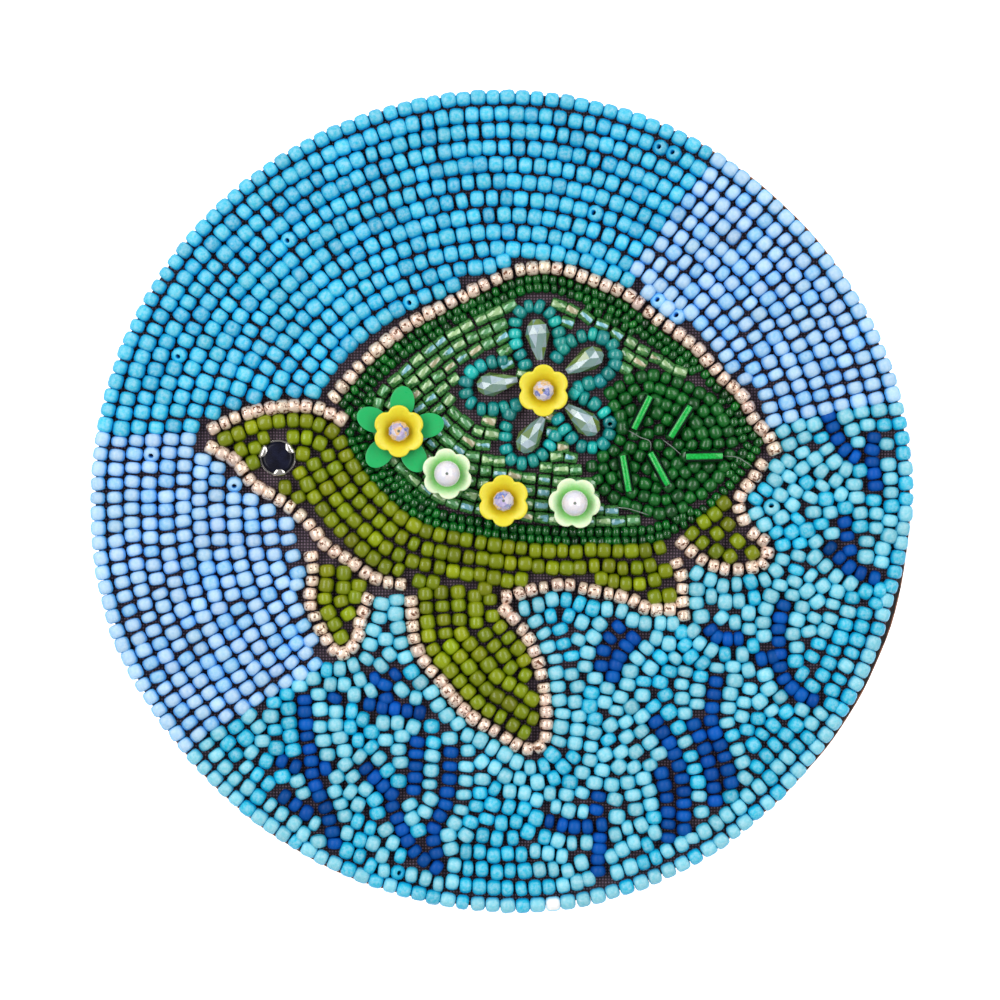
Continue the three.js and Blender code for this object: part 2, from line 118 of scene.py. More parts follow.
class Colours(bpy.types.PropertyGroup):
    turquoise: colour("Turquoise", "Sky beads", 44, 186, 218)
    turquoise_deep: colour("Deep turquoise", "The stronger sky beads", 0, 168, 206)
    haze: colour("Haze", "Pale periwinkle beads", 160, 200, 232)
    haze_deep: colour("Deep haze", "The stronger periwinkle beads", 128, 188, 230)
    aqua: colour("Aqua", "Pale water beads", 112, 196, 214)
    cyan: colour("Cyan", "Bright water beads", 0, 180, 212)
    royal: colour("Royal blue", "Wave beads", 0, 78, 160)
    gold: colour("Champagne gold", "Metal-coated outline beads", 236, 208, 186)
    olive: colour("Olive", "Head, body and flipper beads", 118, 132, 2)
    # rim is painted shade: the lower part of each rim bead takes it, the crown the bead's own tint.
    rim: colour("Rim green", "Small transparent beads round the shell", 0, 60, 16)
    tube: colour("Shell green", "Tube beads of the shell", 58, 122, 66)
    # leaf is painted shade: the lower part of each leaf bead takes it, the crown the bead's own tint.
    leaf: colour("Leaf green", "Round beads of the leaf", 0, 56, 12)
    teal: colour("Teal", "Beads round the crystal drops", 0, 138, 134)
    yellow: colour("Yellow", "Cup flowers", 226, 212, 44)
    pale_green: colour("Pale green", "Pale cup flowers", 140, 214, 120)
    green: colour("Green", "Star flower", 14, 172, 92)
    fabric: colour("Fabric", "Ground cloth between the beads", 74, 60, 70)
    leather: colour("Leatherette", "Backing", 26, 20, 18)


class Studio(bpy.types.PropertyGroup):
    lens: FloatProperty(name="Lens", description="Focal length of the camera", default=0.135, unit="CAMERA")
    view_width: length("View width", "Width of the view at the bead tops", 122.9)
    key_power: FloatProperty(name="Softboxes", description="Power of each softbox", default=3.9, unit="POWER")
    fill: FloatProperty(name="Room light", description="Strength of the light from all round", default=0.38)


def sizes():
    return bpy.context.scene.coaster_bead_sizes


def colours():
    return bpy.context.scene.coaster_colours


# ---- Outlines of the frame's pieces, seen from above ----


def outlines(name):
    """The closed outlines of a piece's flat top, each as an array of points."""
    mesh = NODES[name].data
    place = np.array([v.co for v in mesh.vertices])
    top = place[:, 2].max()
    merged, found = {}, []
    for x, y, z in np.round(place / MM, 3):
        found.append(merged.setdefault((x, y, z), len(merged)))
    points = np.array(list(merged)) * MM
    edges = set()
    for face in mesh.polygons:
        corners = [found[v] for v in face.vertices]
        if all(abs(points[c, 2] - top) < 0.01 * MM for c in corners):
            edges.update(zip(corners, corners[1:] + corners[:1]))
    following = {a: b for a, b in edges if (b, a) not in edges}
    loops = []
    while following:
        start, here = following.popitem()
        loop = [start]
        while here != start:
            loop.append(here)
            here = following.pop(here)
        loops.append(points[loop, :2])
    return sorted(loops, key=len, reverse=True)


def middle_line(name):
    """The line through the middle of a string, from its even outline of two sides."""
    loop = outlines(name)[0]
    half = len(loop) // 2
    best = None
    for start in range(half):
        near = np.roll(loop, -start, axis=0)[:half]
        far = np.roll(loop, -start, axis=0)[half:][::-1]
        across = np.linalg.norm(near - far, axis=1)
        if best is None or np.ptp(across) < best[0]:
            best = (np.ptp(across), (near + far) / 2)
    return best[1]


def spaced(line, step, smooth=0):
    """A line with its points evenly spaced, and its corners rounded off by repeated averaging."""
    along = np.concatenate([[0], np.cumsum(np.linalg.norm(np.diff(line, axis=0), axis=1))])
    count = max(2, round(along[-1] / step) + 1)
    at = np.linspace(0, along[-1], count)
    even = np.stack([np.interp(at, along, line[:, k]) for k in range(2)], axis=1)
    for _ in range(smooth):
        even[1:-1] = (even[:-2] + 2 * even[1:-1] + even[2:]) / 4
    return even


def curve_through(points, step):
    """A smooth line through a few points, by a Catmull-Rom curve."""
    p = np.array([2 * points[0] - points[1], *points, 2 * points[-1] - points[-2]])
    t = np.linspace(0, 1, 12, endpoint=False)[:, None]
    parts = []
    for a, b, c, d in zip(p, p[1:], p[2:], p[3:]):
        parts.append(0.5 * (2 * b + (c - a) * t + (2 * a - 5 * b + 4 * c - d) * t**2 + (3 * b - a - 3 * c + d) * t**3))
    return spaced(np.vstack([*parts, points[-1:]]), step)


def gap_to_edges(points, start, end):
    """How far each point is from the nearest of some straight edges."""
    run = end - start
    square = np.maximum((run**2).sum(1), 1e-14)
    nearest = np.full(len(points), np.inf)
    for first in range(0, len(points), 4000):
        p = points[first : first + 4000, None]
        share = np.clip(((p - start) * run).sum(2) / square, 0, 1)
        gap = np.linalg.norm(p - start - share[..., None] * run, axis=2)
        nearest[first : first + 4000] = gap.min(1)
    return nearest


def gap_to_line(points, line):
    return gap_to_edges(points, line[:-1], line[1:])


class Patch:
    """The area that a field of beads covers, seen from above."""

    def __init__(self, *names):
        self.fields = []
        for name in names:
            loops = outlines(name)
            start = np.vstack(loops)
            end = np.vstack([np.roll(loop, -1, axis=0) for loop in loops])
            self.fields.append((start, end))
        self.outline = outlines(names[0])[0]

    def depth(self, points):
        """How far inside the outline each point is, or minus how far outside."""
        deepest = np.full(len(points), -np.inf)
        for start, end in self.fields:
            px, py = points[:, None, 0], points[:, None, 1]
            straddles = (start[:, 1] > py) != (end[:, 1] > py)
            rise = np.where(end[:, 1] == start[:, 1], 1e-12, end[:, 1] - start[:, 1])
            crossing = start[:, 0] + (py - start[:, 1]) / rise * (end[:, 0] - start[:, 0])
            inside = (straddles & (px < crossing)).sum(1) % 2 == 1
            gap = gap_to_edges(points, start, end)
            deepest = np.maximum(deepest, np.where(inside, gap, -gap))
        return deepest

    def edge(self, first, last, by, loop=None):
        """The stretch of the outline from the corner nearest one point to that nearest another, past a third."""
        loop = self.outline if loop is None else loop
        nearest = [int(np.argmin(np.linalg.norm(loop - np.array(p) * MM, axis=1))) for p in (first, last)]
        ways = []
        for turn in (1, -1):
            stops = np.arange(len(loop))[::turn]
            at = [int(np.where(stops == n)[0][0]) for n in nearest]
            way = np.roll(stops, -at[0])[: (at[1] - at[0]) % len(loop) + 1]
            ways.append(loop[way])
        return min(ways, key=lambda way: gap_to_line(np.array([by]) * MM, way)[0])


# ---- Laying beads along rows ----


class Beads:
    """Where beads lie: places and headings of their threads."""

    def __init__(self):
        self.place = np.zeros((0, 2))
        self.heading = np.zeros(0)

    def crowding(self, points, headings, along, across, among=None):
        """For each point, how near its nearest neighbour is, as a share of the room that a bead needs."""
        if not len(self.place):
            return np.full(len(points), np.inf)
        delta = points[:, None] - self.place
        nearest = np.inf
        for turn in (headings[:, None], self.heading):
            c, s = np.cos(turn), np.sin(turn)
            u = (delta[..., 0] * c + delta[..., 1] * s) / along
            v = (delta[..., 1] * c - delta[..., 0] * s) / across
            nearest = np.minimum(nearest, np.hypot(u, v)) if among is None else np.hypot(u, v)
        return nearest.min(1)

    def add(self, points, headings):
        self.place = np.vstack([self.place, points])
        self.heading = np.concatenate([self.heading, headings])

    def thread(self, points, headings, along, across):
        """Lays beads along a finely spaced row wherever there is room for one."""
        free = self.crowding(points, headings, along, across) >= 0.985
        for i in np.flatnonzero(free):
            recent = Beads()
            recent.add(self.place[-40:], self.heading[-40:])
            if recent.crowding(points[i : i + 1], headings[i : i + 1], along, across)[0] >= 0.985:
                self.add(points[i : i + 1], headings[i : i + 1])


FINE = 0.12 * MM


def rows_beside(line, distances, sides=(1, -1), others=()):
    """Finely spaced points beside a line, at growing distances, where no other line is nearer."""
    run = np.gradient(line, axis=0)
    heading = np.arctan2(run[:, 1], run[:, 0])
    normal = np.stack([-np.sin(heading), np.cos(heading)], axis=1)
    for distance in distances:
        for side in sides:
            points = line + side * distance * normal
            clear = gap_to_line(points, line) > distance - 0.02 * MM
            for other in others:
                clear[clear] = gap_to_line(points[clear], other) > distance - 0.02 * MM
            yield points[clear], heading[clear]


def fill_holes(beads, patch, depth, along, across, room, borders=()):
    """Adds a bead wherever one still fits, with the heading of its nearest neighbour."""
    low, high = patch.outline.min(0), patch.outline.max(0)
    x, y = np.meshgrid(np.arange(low[0], high[0], 0.3 * MM), np.arange(low[1], high[1], 0.3 * MM))
    points = np.stack([x.ravel(), y.ravel()], axis=1)
    points = points[patch.depth(points) > depth]
    for line, reach in borders:
        points = points[gap_to_line(points, line) > reach]
    if not len(points):
        return
    delta = np.linalg.norm(points[:, None] - beads.place, axis=2)
    headings = beads.heading[delta.argmin(1)]
    free = beads.crowding(points, headings, along, across)
    while free.max() > room:
        best = int(free.argmax())
        added = Beads()
        added.add(points[best : best + 1], headings[best : best + 1])
        beads.add(added.place, added.heading)
        free = np.minimum(free, added.crowding(points, headings, along, across))


def settle(beads, fixed, patch, depth, along, across, rounds, borders=()):
    """Lets crowded beads push each other apart, inside their field."""
    count = len(beads.place)
    for _ in range(rounds):
        everything = np.vstack([beads.place, fixed.place])
        delta = beads.place[:, None] - everything
        turn = beads.heading[:, None]
        c, s = np.cos(turn), np.sin(turn)
        u = (delta[..., 0] * c + delta[..., 1] * s) / along
        v = (delta[..., 1] * c - delta[..., 0] * s) / across
        near = np.hypot(u, v)
        near[np.arange(count), np.arange(count)] = 9
        push = np.clip(1 - near, 0, 0.5) * 0.35
        length_of = np.maximum(np.linalg.norm(delta, axis=2), 1e-9)
        moved = beads.place + (delta / length_of[..., None] * push[..., None] * across).sum(1)
        allowed = patch.depth(moved) > depth
        for line, reach in borders:
            allowed &= gap_to_line(moved, line) > reach
        beads.place[allowed] = moved[allowed]


# ---- Bead shapes ----


def clear_selection():
    if bpy.context.object and bpy.context.object.mode == "EDIT":
        bpy.ops.object.mode_set(mode="OBJECT")
    bpy.ops.object.select_all(action="DESELECT")


def edit(piece):
    bpy.context.view_layer.objects.active = piece
    piece.select_set(True)
    bpy.ops.object.mode_set(mode="EDIT")


def pick(piece, kind, test):
    """Selects the faces, edges or corners that pass a test, and nothing else."""
    bpy.ops.mesh.select_mode(type=kind)
    bpy.ops.mesh.select_all(action="DESELECT")
    shape = bmesh.from_edit_mesh(piece.data)
    shape.select_mode = {kind}
    parts = {"FACE": shape.faces, "EDGE": shape.edges, "VERT": shape.verts}[kind]
    for part in parts:
        if test(part):
            part.select_set(True)
    shape.select_flush_mode()
    bmesh.update_edit_mesh(piece.data)


def bore_through(piece, rim_width):
    """Opens a hole along Z through an upright piece, between its two flat ends."""
    pick(piece, "FACE", lambda f: abs(f.normal.z) > 0.9)
    bpy.ops.mesh.inset(thickness=rim_width, use_individual=True)
    bpy.ops.mesh.delete(type="FACE")
    pick(piece, "EDGE", lambda e: e.is_boundary)
    bpy.ops.mesh.bridge_edge_loops()


def around(edge, least):
    """Whether an edge runs round a piece that stands on Z, at least this far out."""
    a, b = edge.verts[0].co, edge.verts[1].co
    return abs(a.z - b.z) < 0.02 * MM and min(a.xy.length, b.xy.length) > least


def bead_shape(name, width, span, bore, corner, sides=10, segments=2):
    """One bead lying along X: a turned ring with rounded shoulders and a hole. Gives its corners and faces."""
    clear_selection()
    bpy.ops.mesh.primitive_cylinder_add(vertices=sides, radius=width / 2, depth=span, end_fill_type="NGON")
    piece = bpy.context.object
    piece.name = name
    edit(piece)
    bore_through(piece, width / 2 - bore)
    pick(piece, "EDGE", lambda e: around(e, width / 2 - 0.02 * MM))
    bpy.ops.mesh.bevel(offset=corner, segments=segments, affect="EDGES")
    bpy.ops.mesh.select_all(action="SELECT")
    bpy.ops.mesh.normals_make_consistent(inside=False)
    bpy.ops.object.mode_set(mode="OBJECT")
    piece.data.transform(Matrix.Rotation(math.pi / 2, 4, "Y"))
    corners = np.array([v.co for v in piece.data.vertices])
    faces = [list(p.vertices) for p in piece.data.polygons]
    bpy.data.objects.remove(piece)
    return corners, faces


def lay_beads(name, shape, beads, tint, height, finish, slot, replaced, variation, rng, smooth=True):
    """One mesh of many beads. tint has a colour for each bead, and variation says how unlike each other they are."""
    corners, faces = shape
    count = len(beads.place)
    size = 1 + rng.normal(0, variation.get("size", 0.025), (count, 1, 1)).clip(-0.08, 0.08)
    stretch = 1 + rng.normal(0, variation.get("span", 0.06), (count, 1, 1)).clip(-0.18, 0.14)
    tilt = rng.normal(0, variation.get("tilt", 0.06), count)
    yaw = beads.heading + rng.normal(0, variation.get("yaw", 0.06), count)
    roll = rng.uniform(0, 2 * math.pi, count)
    upright = rng.random(count) < variation.get("upright", 0)
    tilt = np.where(upright, 1.2, tilt)
    drop = rng.normal(0, variation.get("drop", 0.04) * MM, count)
    shift = rng.normal(0, variation.get("shift", 0.04) * MM, (count, 2)).clip(-0.1 * MM, 0.1 * MM)
    ct, st, cy, sy = np.cos(tilt), np.sin(tilt), np.cos(yaw), np.sin(yaw)
    ahead = np.stack([cy * ct, sy * ct, st], axis=1)
    across = np.stack([-sy, cy, np.zeros(count)], axis=1)
    above = np.cross(ahead, across)
    cr, sr = np.cos(roll)[:, None], np.sin(roll)[:, None]
    side, up = across * cr + above * sr, above * cr - across * sr
    local = corners[None] * np.concatenate([stretch * size, size, size], axis=2)
    turned = local[..., :1] * ahead[:, None] + local[..., 1:2] * side[:, None] + local[..., 2:] * up[:, None]
    # crown: how high each corner stands on its bead, from -1 to 1. The bead materials paint shade on the lower sides
    # and light on the top from it.
    radius = np.abs(corners[:, 2]).max()
    crown = (turned[..., 2] / radius).clip(-1, 1)
    centre = np.column_stack([beads.place + shift, height + drop])
    points = (turned + centre[:, None]).reshape(-1, 3)
    step = len(corners)
    every_face = [[v + i * step for v in face] for i in range(count) for face in faces]
    mesh = bpy.data.meshes.new(name)
    mesh.from_pydata(points.tolist(), [], every_face)
    shade = np.repeat(np.column_stack([tint, np.ones(count)]), step, axis=0)
    mesh.attributes.new("tint", "FLOAT_COLOR", "POINT").data.foreach_set("color", shade.ravel().astype(np.float32))
    mesh.attributes.new("crown", "FLOAT", "POINT").data.foreach_set("value", crown.ravel().astype(np.float32))
    if smooth:
        mesh.shade_smooth()
    piece = bpy.data.objects.new(name, mesh)
    bpy.context.collection.objects.link(piece)
    own(piece, finish, slot, replaced)
    return piece


def own(piece, finish, slot, replaced=(), body=BODY):
    """Gives a finished piece its material, its body and the frame's pieces that it stands for. The slot argument is
    not used.
    """
    piece.data.materials.clear()
    piece.data.materials.append(finish)
    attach(piece, body)
    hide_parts(*replaced)
    return piece


def tints(base, count, rng, spread=0.08, other=None, share=0.0):
    """A colour for each bead: the base colour, or now and then another, each a little lighter or darker."""
    shade = np.tile(np.array(base), (count, 1))
    if other is not None:
        picked = rng.random(count) < share
        shade[picked] = np.array(other)
    value = 1 + rng.normal(0, spread, (count, 1))
    warmth = 1 + rng.normal(0, spread / 4, (count, 3))
    return (shade * value * warmth).clip(0.001, 0.95)


# ---- Materials ----


class Finish:
    """A material being made: adds nodes, and joins each input to a value or to another node's output."""

    def __init__(self, name):
        self.material = bpy.data.materials.new(name)
        self.material.use_nodes = True
        self.tree = self.material.node_tree
        self.shader = self.tree.nodes["Principled BSDF"]
        self.place = self.node("TexCoord").outputs["Object"]

    def node(self, kind, **inputs):
        made = self.tree.nodes.new("ShaderNode" + kind)
        for key, value in inputs.items():
            self.set(made, key.replace("_", " "), value)
        return made

    def set(self, node, key, value):
        if isinstance(value, bpy.types.NodeSocket):
            self.tree.links.new(value, node.inputs[key])
        else:
            node.inputs[key].default_value = value

    def noise(self, size, detail=2.0, roughness=0.5, place=None):
        """Soft blotches of about this size."""
        made = self.node("TexNoise", Scale=1 / size, Detail=detail, Roughness=roughness)
        self.set(made, "Vector", self.place if place is None else place)
        return made.outputs["Fac"]

    def cells(self, size, output="Distance", place=None):
        made = self.node("TexVoronoi", Scale=1 / size)
        self.set(made, "Vector", self.place if place is None else place)
        return made.outputs[output]

    def attribute(self, name, output):
        made = self.node("Attribute")
        made.attribute_name = name
        return made.outputs[output]

    def ramp(self, value, low, high, start=0.0, end=1.0):
        """A value remapped smoothly from one range to another."""
        made = self.tree.nodes.new("ShaderNodeMapRange")
        made.interpolation_type = "SMOOTHSTEP"
        for key, number in zip(("From Min", "From Max", "To Min", "To Max"), (low, high, start, end)):
            made.inputs[key].default_value = number
        self.set(made, "Value", value)
        return made.outputs["Result"]

    def sum(self, operation, first, second):
        made = self.tree.nodes.new("ShaderNodeMath")
        made.operation = operation
        self.set(made, 0, first)
        self.set(made, 1, second)
        return made.outputs[0]

    def mix(self, share, first, second, blend="MIX"):
        made = self.tree.nodes.new("ShaderNodeMix")
        made.data_type = "RGBA"
        made.blend_type = blend
        for key, value in ((0, share), (6, first), (7, second)):
            value = (*value, 1) if isinstance(value, tuple) and len(value) == 3 else value
            self.set(made, key, value)
        return made.outputs[2]

    def bump(self, height, strength, distance):
        made = self.node("Bump", Strength=strength, Distance=distance, Height=height)
        self.set(self.shader, "Normal", made.outputs["Normal"])

    def surface(self, **inputs):
        for key, value in inputs.items():
            self.set(self.shader, key.replace("_", " "), value)
        return self.material


def bead_finish(name, dark, rough, chalk=0.0, coat=0.0, grain=0.12, specular=0.5):
    """Glass or glaze that is coloured bead by bead. The sides are painted darker than the crown as shade, and the
    crown paler as painted top light.
    """
    f = Finish(name)
    tint = f.attribute("tint", "Color")
    crown = f.attribute("crown", "Fac")
    mottle = f.noise(0.45 * MM, 3.0, 0.6)
    spots = f.noise(0.16 * MM, 2.0, 0.5)
    deep = f.mix(1.0, tint, dark, "MULTIPLY")
    # Painted shade: below the crown the sides take deep, the tint darkened by dark, which also colours the flecks.
    body = f.mix(f.ramp(crown, 0.35, 0.86), deep, tint)
    pale = f.mix(f.ramp(mottle, 0.3, 0.75, 0.0, chalk), body, (0.86, 0.9, 0.93))
    # Painted top light: the crown turns to the pale colour, mottled by chalk.
    top = f.mix(f.ramp(crown, 0.6, 0.95), body, pale)
    flecked = f.mix(f.ramp(spots, 0.62, 0.8, 0.0, grain), top, deep)
    f.surface(Base_Color=flecked, Roughness=f.ramp(mottle, 0.2, 0.8, rough - 0.07, rough + 0.1))
    f.surface(Coat_Weight=coat, Coat_Roughness=0.08, Specular_IOR_Level=specular)
    f.bump(f.sum("ADD", mottle, spots), 0.12, 0.04 * MM)
    return f.material


def gold_finish():
    """Thin champagne metal over brown glass, worn off in pits. The sides of each bead are painted dark brown as shade.
    """
    f = Finish("champagne_gold")
    tint = f.attribute("tint", "Color")
    crown = f.attribute("crown", "Fac")
    pits = f.ramp(f.noise(0.46 * MM, 3.0, 0.65), 0.54, 0.62)
    scratches = f.noise(0.12 * MM, 2.0, 0.7)
    plating = f.mix(f.ramp(scratches, 0.35, 0.7, 0.0, 0.5), tint, (0.98, 0.84, 0.74))
    worn = f.mix(pits, plating, srgb(112, 66, 40))
    # Painted shade: below the crown the sides turn dark brown.
    sides = f.mix(f.ramp(crown, 0.2, 0.66), srgb(96, 56, 36), worn)
    f.surface(Base_Color=sides, Metallic=0.45, Roughness=f.ramp(pits, 0.0, 1.0, 0.34, 0.55))
    f.bump(f.ramp(pits, 0.0, 1.0, 1.0, 0.0), 0.4, 0.06 * MM)
    return f.material


def tube_finish():
    """Green glass tubes with a rainbow coat. The lower sides are painted dark as shade, and a pale bar along the
    crown, tinted by the coat, is a painted highlight.
    """
    f = Finish("rainbow_tube_glass")
    tint = f.attribute("tint", "Color")
    crown = f.attribute("crown", "Fac")
    streak = f.noise(0.3 * MM, 2.0, 0.5)
    glass = f.mix(f.ramp(streak, 0.3, 0.7), srgb(24, 88, 36), srgb(78, 140, 70))
    # Painted shade: the lower half of each tube darkens towards srgb(8, 62, 18).
    deep = f.mix(f.ramp(crown, 0.0, 0.5), srgb(8, 62, 18), glass)
    # Painted highlight: a pale bar along the crown, in each tube's own coat tint.
    bar = f.ramp(f.sum("ADD", crown, f.sum("MULTIPLY", streak, 0.14)), 0.94, 1.02, 0.0, 0.85)
    f.surface(Base_Color=f.mix(bar, deep, tint), Roughness=0.12, Coat_Weight=0.8, Coat_Roughness=0.05)
    f.bump(streak, 0.15, 0.03 * MM)
    return f.material


def clear_glass(name, rgb, rough=0.1, transmission=0.35, vein=0.2):
    """Transparent coloured glass beads. The lower part of each bead is painted in the darker given colour as shade,
    and the crown takes the bead's tint.
    """
    f = Finish(name)
    tint = f.attribute("tint", "Color")
    crown = f.attribute("crown", "Fac")
    cloud = f.noise(0.3 * MM, 2.0, 0.5)
    # Painted shade: rgb on the lower part of the bead, the tint on the crown.
    deep = f.mix(f.ramp(crown, 0.1, 0.95), rgb, tint)
    f.surface(Base_Color=f.mix(f.ramp(cloud, 0.4, 0.8, 0.0, vein), deep, (0.02, 0.36, 0.08)), Roughness=rough)
    f.surface(Transmission_Weight=transmission, IOR=1.5, Coat_Weight=0.2, Coat_Roughness=0.06)
    f.bump(cloud, 0.1, 0.03 * MM)
    return f.material


def drop_finish():
    """Pale green cut crystal. Facets that face up are painted blue-white as reflected light, and the others show the
    green glass, painted darker as shade on those that face away.
    """
    f = Finish("pale_green_crystal")
    tone = f.attribute("facet", "Fac")
    vein = f.noise(0.5 * MM, 3.0, 0.6)
    # The facet value is painted: low values give darker glass as shade, high ones pale blue-white as reflected light.
    glass = f.mix(f.ramp(tone, 0.0, 0.45), srgb(58, 84, 22), srgb(126, 152, 74))
    lit = f.mix(f.ramp(tone, 0.6, 0.68), glass, srgb(138, 172, 168))
    bright = f.mix(f.ramp(tone, 0.8, 1.0), lit, srgb(196, 216, 230))
    f.surface(Base_Color=f.mix(f.ramp(vein, 0.5, 0.75, 0.0, 0.3), bright, srgb(120, 146, 90)))
    f.surface(Roughness=0.03, Transmission_Weight=0.25, IOR=1.55, Coat_Weight=1.0, Coat_Roughness=0.02)
    f.bump(vein, 0.05, 0.03 * MM)
    return f.material


def aurora_finish():
    """Cut crystal with a rainbow coat: lavender, orange and blue by facet."""
    f = Finish("aurora_crystal_glass")
    facet = f.cells(0.85 * MM, "Color")
    parts = f.node("SeparateColor", Color=facet).outputs
    lilac = f.mix(f.ramp(parts["Red"], 0.45, 0.6), srgb(228, 216, 230), srgb(190, 174, 222))
    warm = f.mix(f.ramp(parts["Green"], 0.6, 0.68), lilac, srgb(240, 188, 120))
    cold = f.mix(f.ramp(parts["Blue"], 0.82, 0.9), warm, srgb(120, 128, 204))
    haze = f.noise(0.3 * MM, 2.0, 0.5)
    f.surface(Base_Color=f.mix(f.ramp(haze, 0.4, 0.7, 0.0, 0.4), cold, (0.9, 0.88, 0.92)), Roughness=0.04)
    f.surface(Transmission_Weight=0.15, IOR=1.6, Coat_Weight=1.0, Coat_Roughness=0.02)
    f.bump(haze, 0.05, 0.02 * MM)
    return f.material


def pearl_finish():
    f = Finish("white_pearl")
    bloom = f.noise(1.1 * MM, 2.0, 0.5)
    skin = f.noise(0.15 * MM, 3.0, 0.6)
    f.surface(Base_Color=f.mix(f.ramp(bloom, 0.3, 0.7), srgb(222, 222, 234), srgb(238, 228, 228)))
    f.surface(Roughness=f.ramp(skin, 0.2, 0.8, 0.18, 0.32), Coat_Weight=0.7, Coat_Roughness=0.1)
    f.surface(Sheen_Weight=0.3, Sheen_Roughness=0.4, Specular_IOR_Level=0.7)
    f.bump(skin, 0.06, 0.02 * MM)
    return f.material


def plastic_finish(name, inner, outer, centre, reach, gloss=0.35):
    """Moulded plastic that changes colour from the middle of a flower to its rim."""
    f = Finish(name)
    shift = f.node("Mapping", Vector=f.place, Location=(-centre[0], -centre[1], 0))
    flat = f.node("VectorMath", Vector=shift.outputs[0])
    flat.operation = "MULTIPLY"
    flat.inputs[1].default_value = (1, 1, 0)
    radius = f.node("VectorMath", Vector=flat.outputs[0])
    radius.operation = "LENGTH"
    wobble = f.sum("MULTIPLY", f.noise(0.9 * MM, 2.0, 0.5), 0.5 * MM)
    share = f.ramp(f.sum("ADD", radius.outputs["Value"], wobble), reach[0], reach[1])
    flow = f.noise(0.5 * MM, 3.0, 0.6)
    body = f.mix(share, inner, outer)
    dull = f.mix(1.0, body, (0.8, 0.8, 0.7), "MULTIPLY")
    f.surface(Base_Color=f.mix(f.ramp(flow, 0.5, 0.8, 0.0, 0.5), body, dull), Subsurface_Weight=0.15)
    f.surface(Roughness=f.ramp(flow, 0.2, 0.8, gloss - 0.06, gloss + 0.1), Subsurface_Scale=0.4 * MM)
    f.bump(flow, 0.08, 0.05 * MM)
    return f.material


def bugle_finish():
    """Silver-lined bright green glass: the top is painted with the light lining, and the sides are painted near black
    as shade.
    """
    f = Finish("bright_green_bugle")
    crown = f.attribute("crown", "Fac")
    streak = f.noise(0.25 * MM, 3.0, 0.6)
    lining = f.mix(f.ramp(streak, 0.3, 0.75), srgb(0, 142, 44), srgb(26, 196, 84))
    # Painted shade: the sides of the tube, below the crown, are near black.
    f.surface(Base_Color=f.mix(f.ramp(crown, 0.8, 0.92), srgb(0, 18, 8), lining), Roughness=0.2)
    f.surface(Coat_Weight=0.2, Coat_Roughness=0.06, Specular_IOR_Level=0.3)
    f.bump(streak, 0.1, 0.03 * MM)
    return f.material


def stone_finish():
    f = Finish("night_blue_stone")
    cloud = f.noise(1.2 * MM, 3.0, 0.6)
    dust = f.noise(0.12 * MM, 2.0, 0.6)
    f.surface(Base_Color=f.mix(f.ramp(cloud, 0.3, 0.7), srgb(12, 12, 24), srgb(22, 24, 44)))
    f.surface(Roughness=f.ramp(dust, 0.3, 0.8, 0.2, 0.34), Specular_IOR_Level=0.15)
    f.bump(dust, 0.05, 0.02 * MM)
    return f.material


def silver_finish():
    f = Finish("plated_silver")
    wear = f.noise(0.6 * MM, 4.0, 0.6)
    f.surface(Base_Color=f.mix(f.ramp(wear, 0.5, 0.75), srgb(214, 210, 204), srgb(120, 112, 104)), Metallic=1.0)
    f.surface(Roughness=f.ramp(wear, 0.2, 0.8, 0.12, 0.3))
    f.bump(wear, 0.08, 0.03 * MM)
    return f.material


def thread_finish():
    f = Finish("clear_nylon")
    ply = f.noise(0.2 * MM, 2.0, 0.5)
    f.surface(Base_Color=f.mix(ply, srgb(96, 112, 100), srgb(168, 180, 170)), Roughness=0.2, IOR=1.5)
    f.surface(Transmission_Weight=0.4)
    f.bump(ply, 0.1, 0.02 * MM)
    return f.material


def cloth_finish():
    """Plain weave: two sets of yarns that pass over and under each other, with fluff between."""
    f = Finish("plain_weave")
    warp = f.node("TexWave", Vector=f.place, Scale=820.0, Distortion=0.7, Detail=2.0)
    weft = f.node("TexWave", Vector=f.place, Scale=820.0, Distortion=0.7, Detail=2.0)
    warp.bands_direction = "X"
    weft.bands_direction = "Y"
    yarn = f.sum("MULTIPLY", warp.outputs["Fac"], weft.outputs["Fac"])
    fluff = f.noise(0.35 * MM, 4.0, 0.7)
    base = colours().fabric[:]
    lit = tuple(min(1.0, 3.6 * c) for c in base)
    shade = f.mix(f.ramp(yarn, 0.1, 0.7), tuple(0.35 * c for c in base), lit)
    f.surface(Base_Color=f.mix(f.ramp(fluff, 0.35, 0.75, 0.0, 0.6), shade, base), Roughness=0.95)
    f.surface(Sheen_Weight=0.3, Sheen_Roughness=0.5)
    f.bump(yarn, 0.6, 0.1 * MM)
    return f.material


def leather_finish(radius, centre):
    """Pebbled leatherette with a bare copper-brown edge where it was cut."""
    f = Finish("leatherette")
    shift = f.node("Mapping", Vector=f.place, Location=(-centre[0], -centre[1], 0))
    flat = f.node("VectorMath", Vector=shift.outputs[0])
    flat.operation = "MULTIPLY"
    flat.inputs[1].default_value = (1, 1, 0)
    out = f.node("VectorMath", Vector=flat.outputs[0])
    out.operation = "LENGTH"
    fray = f.sum("MULTIPLY", f.noise(1.6 * MM, 3.0, 0.6), 0.5 * MM)
    edge = f.ramp(f.sum("ADD", out.outputs["Value"], fray), radius - 0.1 * MM, radius + 0.12 * MM)
    pebble = f.cells(0.7 * MM)
    scuff = f.noise(4 * MM, 4.0, 0.6)
    base = colours().leather[:]
    skin = f.mix(f.ramp(scuff, 0.4, 0.75, 0.0, 0.6), base, tuple(2.2 * c for c in base))
    f.surface(Base_Color=f.mix(edge, skin, srgb(150, 92, 58)), Roughness=f.ramp(scuff, 0.2, 0.8, 0.62, 0.85))
    f.bump(pebble, 0.5, 0.12 * MM)
    return f.material


